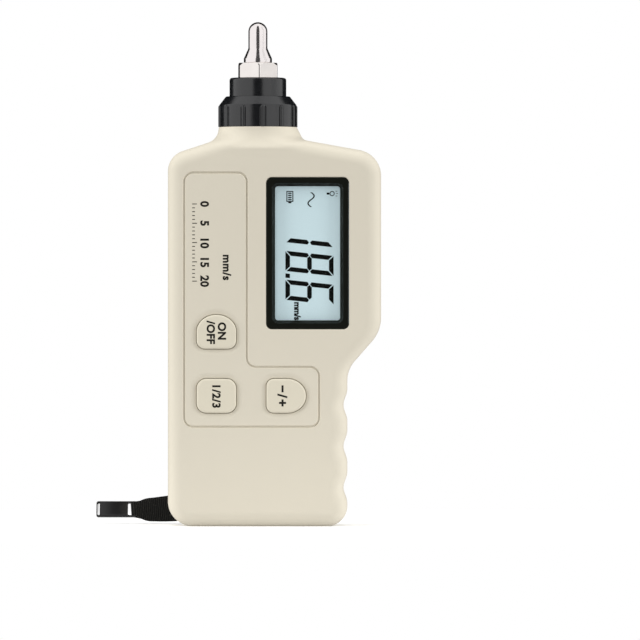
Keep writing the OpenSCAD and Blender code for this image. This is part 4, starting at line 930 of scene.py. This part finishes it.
# A slot goes from its first to its second distance along the slider, with corners of the third.
SLOTS = ((0.6, 1.05, 0.2), (SLIDER_L - 2.55, SLIDER_L - 0.8, 0.5))
EDGE_ROUND, SLOT_ROUND = 0.28, 0.6
acetal = Finish("slider_plastic", {})
acetal.paint(120, (13, 13, 13), (21, 21, 22))
acetal.polish(0.08, 0.24, 90)
acetal.grain(900, 0.000003)
slider_x0 = STRAP_ROUTE[-1, 0] + BAR_R - SLIDER_L
outlines = [(box_path((slider_x0, -SLIDER_W/2), (slider_x0 + SLIDER_L, SLIDER_W/2), SLIDER_R), 1)]
outlines += [(box_path((slider_x0 + near, -SLOT_W/2), (slider_x0 + far, SLOT_W/2), radius), -SLOT_ROUND)
             for near, far, radius in SLOTS]
roll = np.linspace(0, math.pi, 9)
round_in = EDGE_ROUND*(1 - np.sin(roll))
round_y = (SLIDER_T/2 - EDGE_ROUND)*np.sign(-np.cos(roll)).round() - EDGE_ROUND*np.cos(roll)
round_y[len(roll)//2] = 0
walls = [[rounded(inset(path, at*inward), SLIDER_STEPS) for at in round_in] for path, inward in outlines]
patches = [sunk(rows, round_y) for rows in walls]
patches += [plate([rows[0] for rows in walls], y) for y in (-SLIDER_T/2, SLIDER_T/2)]
lean = np.array([(1, 0, 0), (0, math.cos(SLIDER_TILT), math.sin(SLIDER_TILT)),
                 (0, -math.sin(SLIDER_TILT), math.cos(SLIDER_TILT))])
patches = [(points @ lean.T + [0, *STRAP_ROUTE[-1, 1:]], faces) for points, faces in patches]
piece("slider", patches, "case", acetal, ["strap_slider"], sharp=50)


# Pieces inside, screws and the strap's pin: they keep their CAD shapes. Steel, laminate, epoxy,
# sleeves and vinyl each get a base colour that wanders a little, a patchy gloss and a fine bump.
def simple(name, red, green, blue, roughness, metallic=0.0, scale=400, spread=14, bump=0.00001):
    """A finish whose colour and gloss wander slightly over the surface."""
    finish = Finish(name, {"Metallic": metallic})
    finish.paint(scale, (red, green, blue), [min(255, part + spread) for part in (red, green, blue)])
    finish.polish(0.12, roughness - 0.06, scale)
    finish.grain(scale*5, bump)
    return finish


zinc = simple("screw_steel", 172, 174, 176, 0.3, 1.0)
softened("case_screws", "case_screws_dressed", zinc, "case", 0.06)
softened("strap_pin", "strap_pin_dressed", zinc, "case", 0.15)
inside = {
    ("board_screws", "crystal", "mass_nut"): zinc,
    ("lcd_backlight",): simple("diffuser_plastic", 236, 240, 242, 0.5),
    ("contact_strip",): simple("zebra_rubber", 226, 150, 170, 0.6, scale=2200, spread=-40),
    ("main_board",): simple("board_laminate", 22, 92, 50, 0.35, scale=900),
    ("chips", "key_switches"): simple("chip_epoxy", 34, 34, 36, 0.55),
    ("capacitors",): simple("capacitor_sleeve", 42, 46, 104, 0.3),
    ("trimmers",): simple("trimmer_plastic", 38, 80, 168, 0.4),
    ("measure_plunger", "mode_plunger", "range_plunger"): simple("plunger_plastic", 218, 214, 198, 0.45),
    ("battery",): simple("battery_sleeve", 58, 62, 70, 0.32, scale=90),
    ("battery_foam",): simple("foam_rubber", 40, 40, 42, 0.9, scale=2600, bump=0.0002),
    ("battery_snap",): simple("snap_vinyl", 26, 26, 28, 0.5),
    ("battery_leads", "sensor_cable"): simple("lead_vinyl", 150, 34, 30, 0.42),
    ("isolator_rings",): simple("ring_rubber", 30, 30, 32, 0.6),
    ("sensor_can", "seismic_mass"): steel,
    ("piezo_discs",): simple("piezo_ceramic", 216, 204, 170, 0.6),
    ("contact_shim",): simple("shim_brass", 214, 174, 96, 0.25, 1.0),
}
for names, finish in inside.items():
    for name in names:
        dressed(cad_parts[name].data, finish)


# Floor and light: a plain white table that fades away, soft boxes left, right and above, and cards
# that only gloss and metal see: black ones before the display and behind, a white one at the side.
FLOOR_R, FLOOR_DROP, FLOOR_SPOKES, FLOOR_RINGS = 240.0, 0.02, 96, 24
FADE = (45.0, 220.0)
BOUNCE = 0.65
WORLD_FILL = 0.55
floor_r = np.linspace(0.01, 1, FLOOR_RINGS)[:, None]*FLOOR_R
around = np.linspace(0, 2*math.pi, FLOOR_SPOKES, endpoint=False)
disc = np.stack(np.broadcast_arrays(floor_r*np.cos(around), floor_r*np.sin(around), -FLOOR_DROP), -1)
floor_points, floor_faces = grid(disc, loop=True)
floor_mesh = joined("floor", [(floor_points, [*floor_faces, range(FLOOR_SPOKES - 1, -1, -1)])])
present("floor", floor_mesh)
paper = Finish("floor_paper", {"Roughness": 0.9, "Base Color": (0.9, 0.9, 0.9, 1),
                               "Emission Color": (1, 1, 1, 1), "Emission Strength": 0.16}, 0.0)
away = paper.node("VectorMath", {"operation": "LENGTH"}, {0: paper.node("TexCoord", out="Object")}, "Value")
shown = paper.node("MapRange", None, {"Value": away, "From Min": FADE[1]*MM, "From Max": FADE[0]*MM})
fade = 1 - shown*(paper.node("LightPath", out="Is Camera Ray")*(1 - BOUNCE) + BOUNCE)
blend = paper.node("MixShader", None, {0: fade, 1: Wire(paper, paper.shader.outputs[0]),
                                       2: paper.node("BsdfTransparent")})
paper.plug(blend, "Material Output", "Surface")
dressed(floor_mesh, paper)

world = bpy.data.worlds.new("studio")
bpy.context.scene.world = world
world.use_nodes = True
sky = Graph(world.node_tree)
camera_ray, glossy_ray, passing_ray = (sky.node("LightPath", out=f"Is {kind} Ray")
                                       for kind in ("Camera", "Glossy", "Transmission"))
bright = (camera_ray + glossy_ray + passing_ray).apply("MINIMUM", 1)
sky.plug(bright*(1 - WORLD_FILL) + WORLD_FILL, "Background", "Strength")
world.node_tree.nodes["Background"].inputs["Color"].default_value = (1, 1, 1, 1)


# Lamps: place, size and power. They are off for gloss, which sees the cards and the white world.
LAMPS = (("left_box", (-1.3, -0.42, 0.5), (0.8, 1.3), 15.5),
         ("right_box", (1.3, -0.42, 0.45), (0.8, 1.2), 14.8),
         ("top_box", (-0.1, -0.1, 1.4), (1.0, 1.0), 7.5))
CASE_MIDDLE = Vector((0, 0, 0.07))
for name, place, size, power in LAMPS:
    lamp = bpy.data.lights.new(name, "AREA")
    lamp.shape, lamp.size, lamp.size_y, lamp.energy = "RECTANGLE", *size, power
    made = present(name, lamp)
    made.location = place
    made.rotation_euler = (CASE_MIDDLE - Vector(place)).to_track_quat("-Z", "Y").to_euler()
    made.visible_glossy = False

# Cards: both ends seen from above, the lowest and the highest z, and how light the card is.
CARDS = (("front_card", (-0.34, -1.0), (0.34, -1.0), (-1.0, 3.4), 0.07),
         ("back_card", (-1.0, 0.55), (1.0, 0.55), (-0.6, 1.6), 0.01),
         ("side_card", (1.0, -0.62), (1.2, -0.2), (-0.6, 1.6), 0.98))
for name, start, end, (low, high), shade in CARDS:
    mesh = bpy.data.meshes.new(name)
    mesh.from_pydata([(*start, low), (*end, low), (*end, high), (*start, high)], [], [(0, 1, 2, 3)])
    dressed(mesh, Finish(name, {"Base Color": (shade, shade, shade, 1), "Roughness": 1.0}, 0.0))
    made = present(name, mesh)
    made.visible_camera = made.visible_diffuse = made.visible_shadow = made.visible_transmission = False
    made.visible_volume_scatter = False

bpy.context.scene.view_settings.view_transform = "Standard"
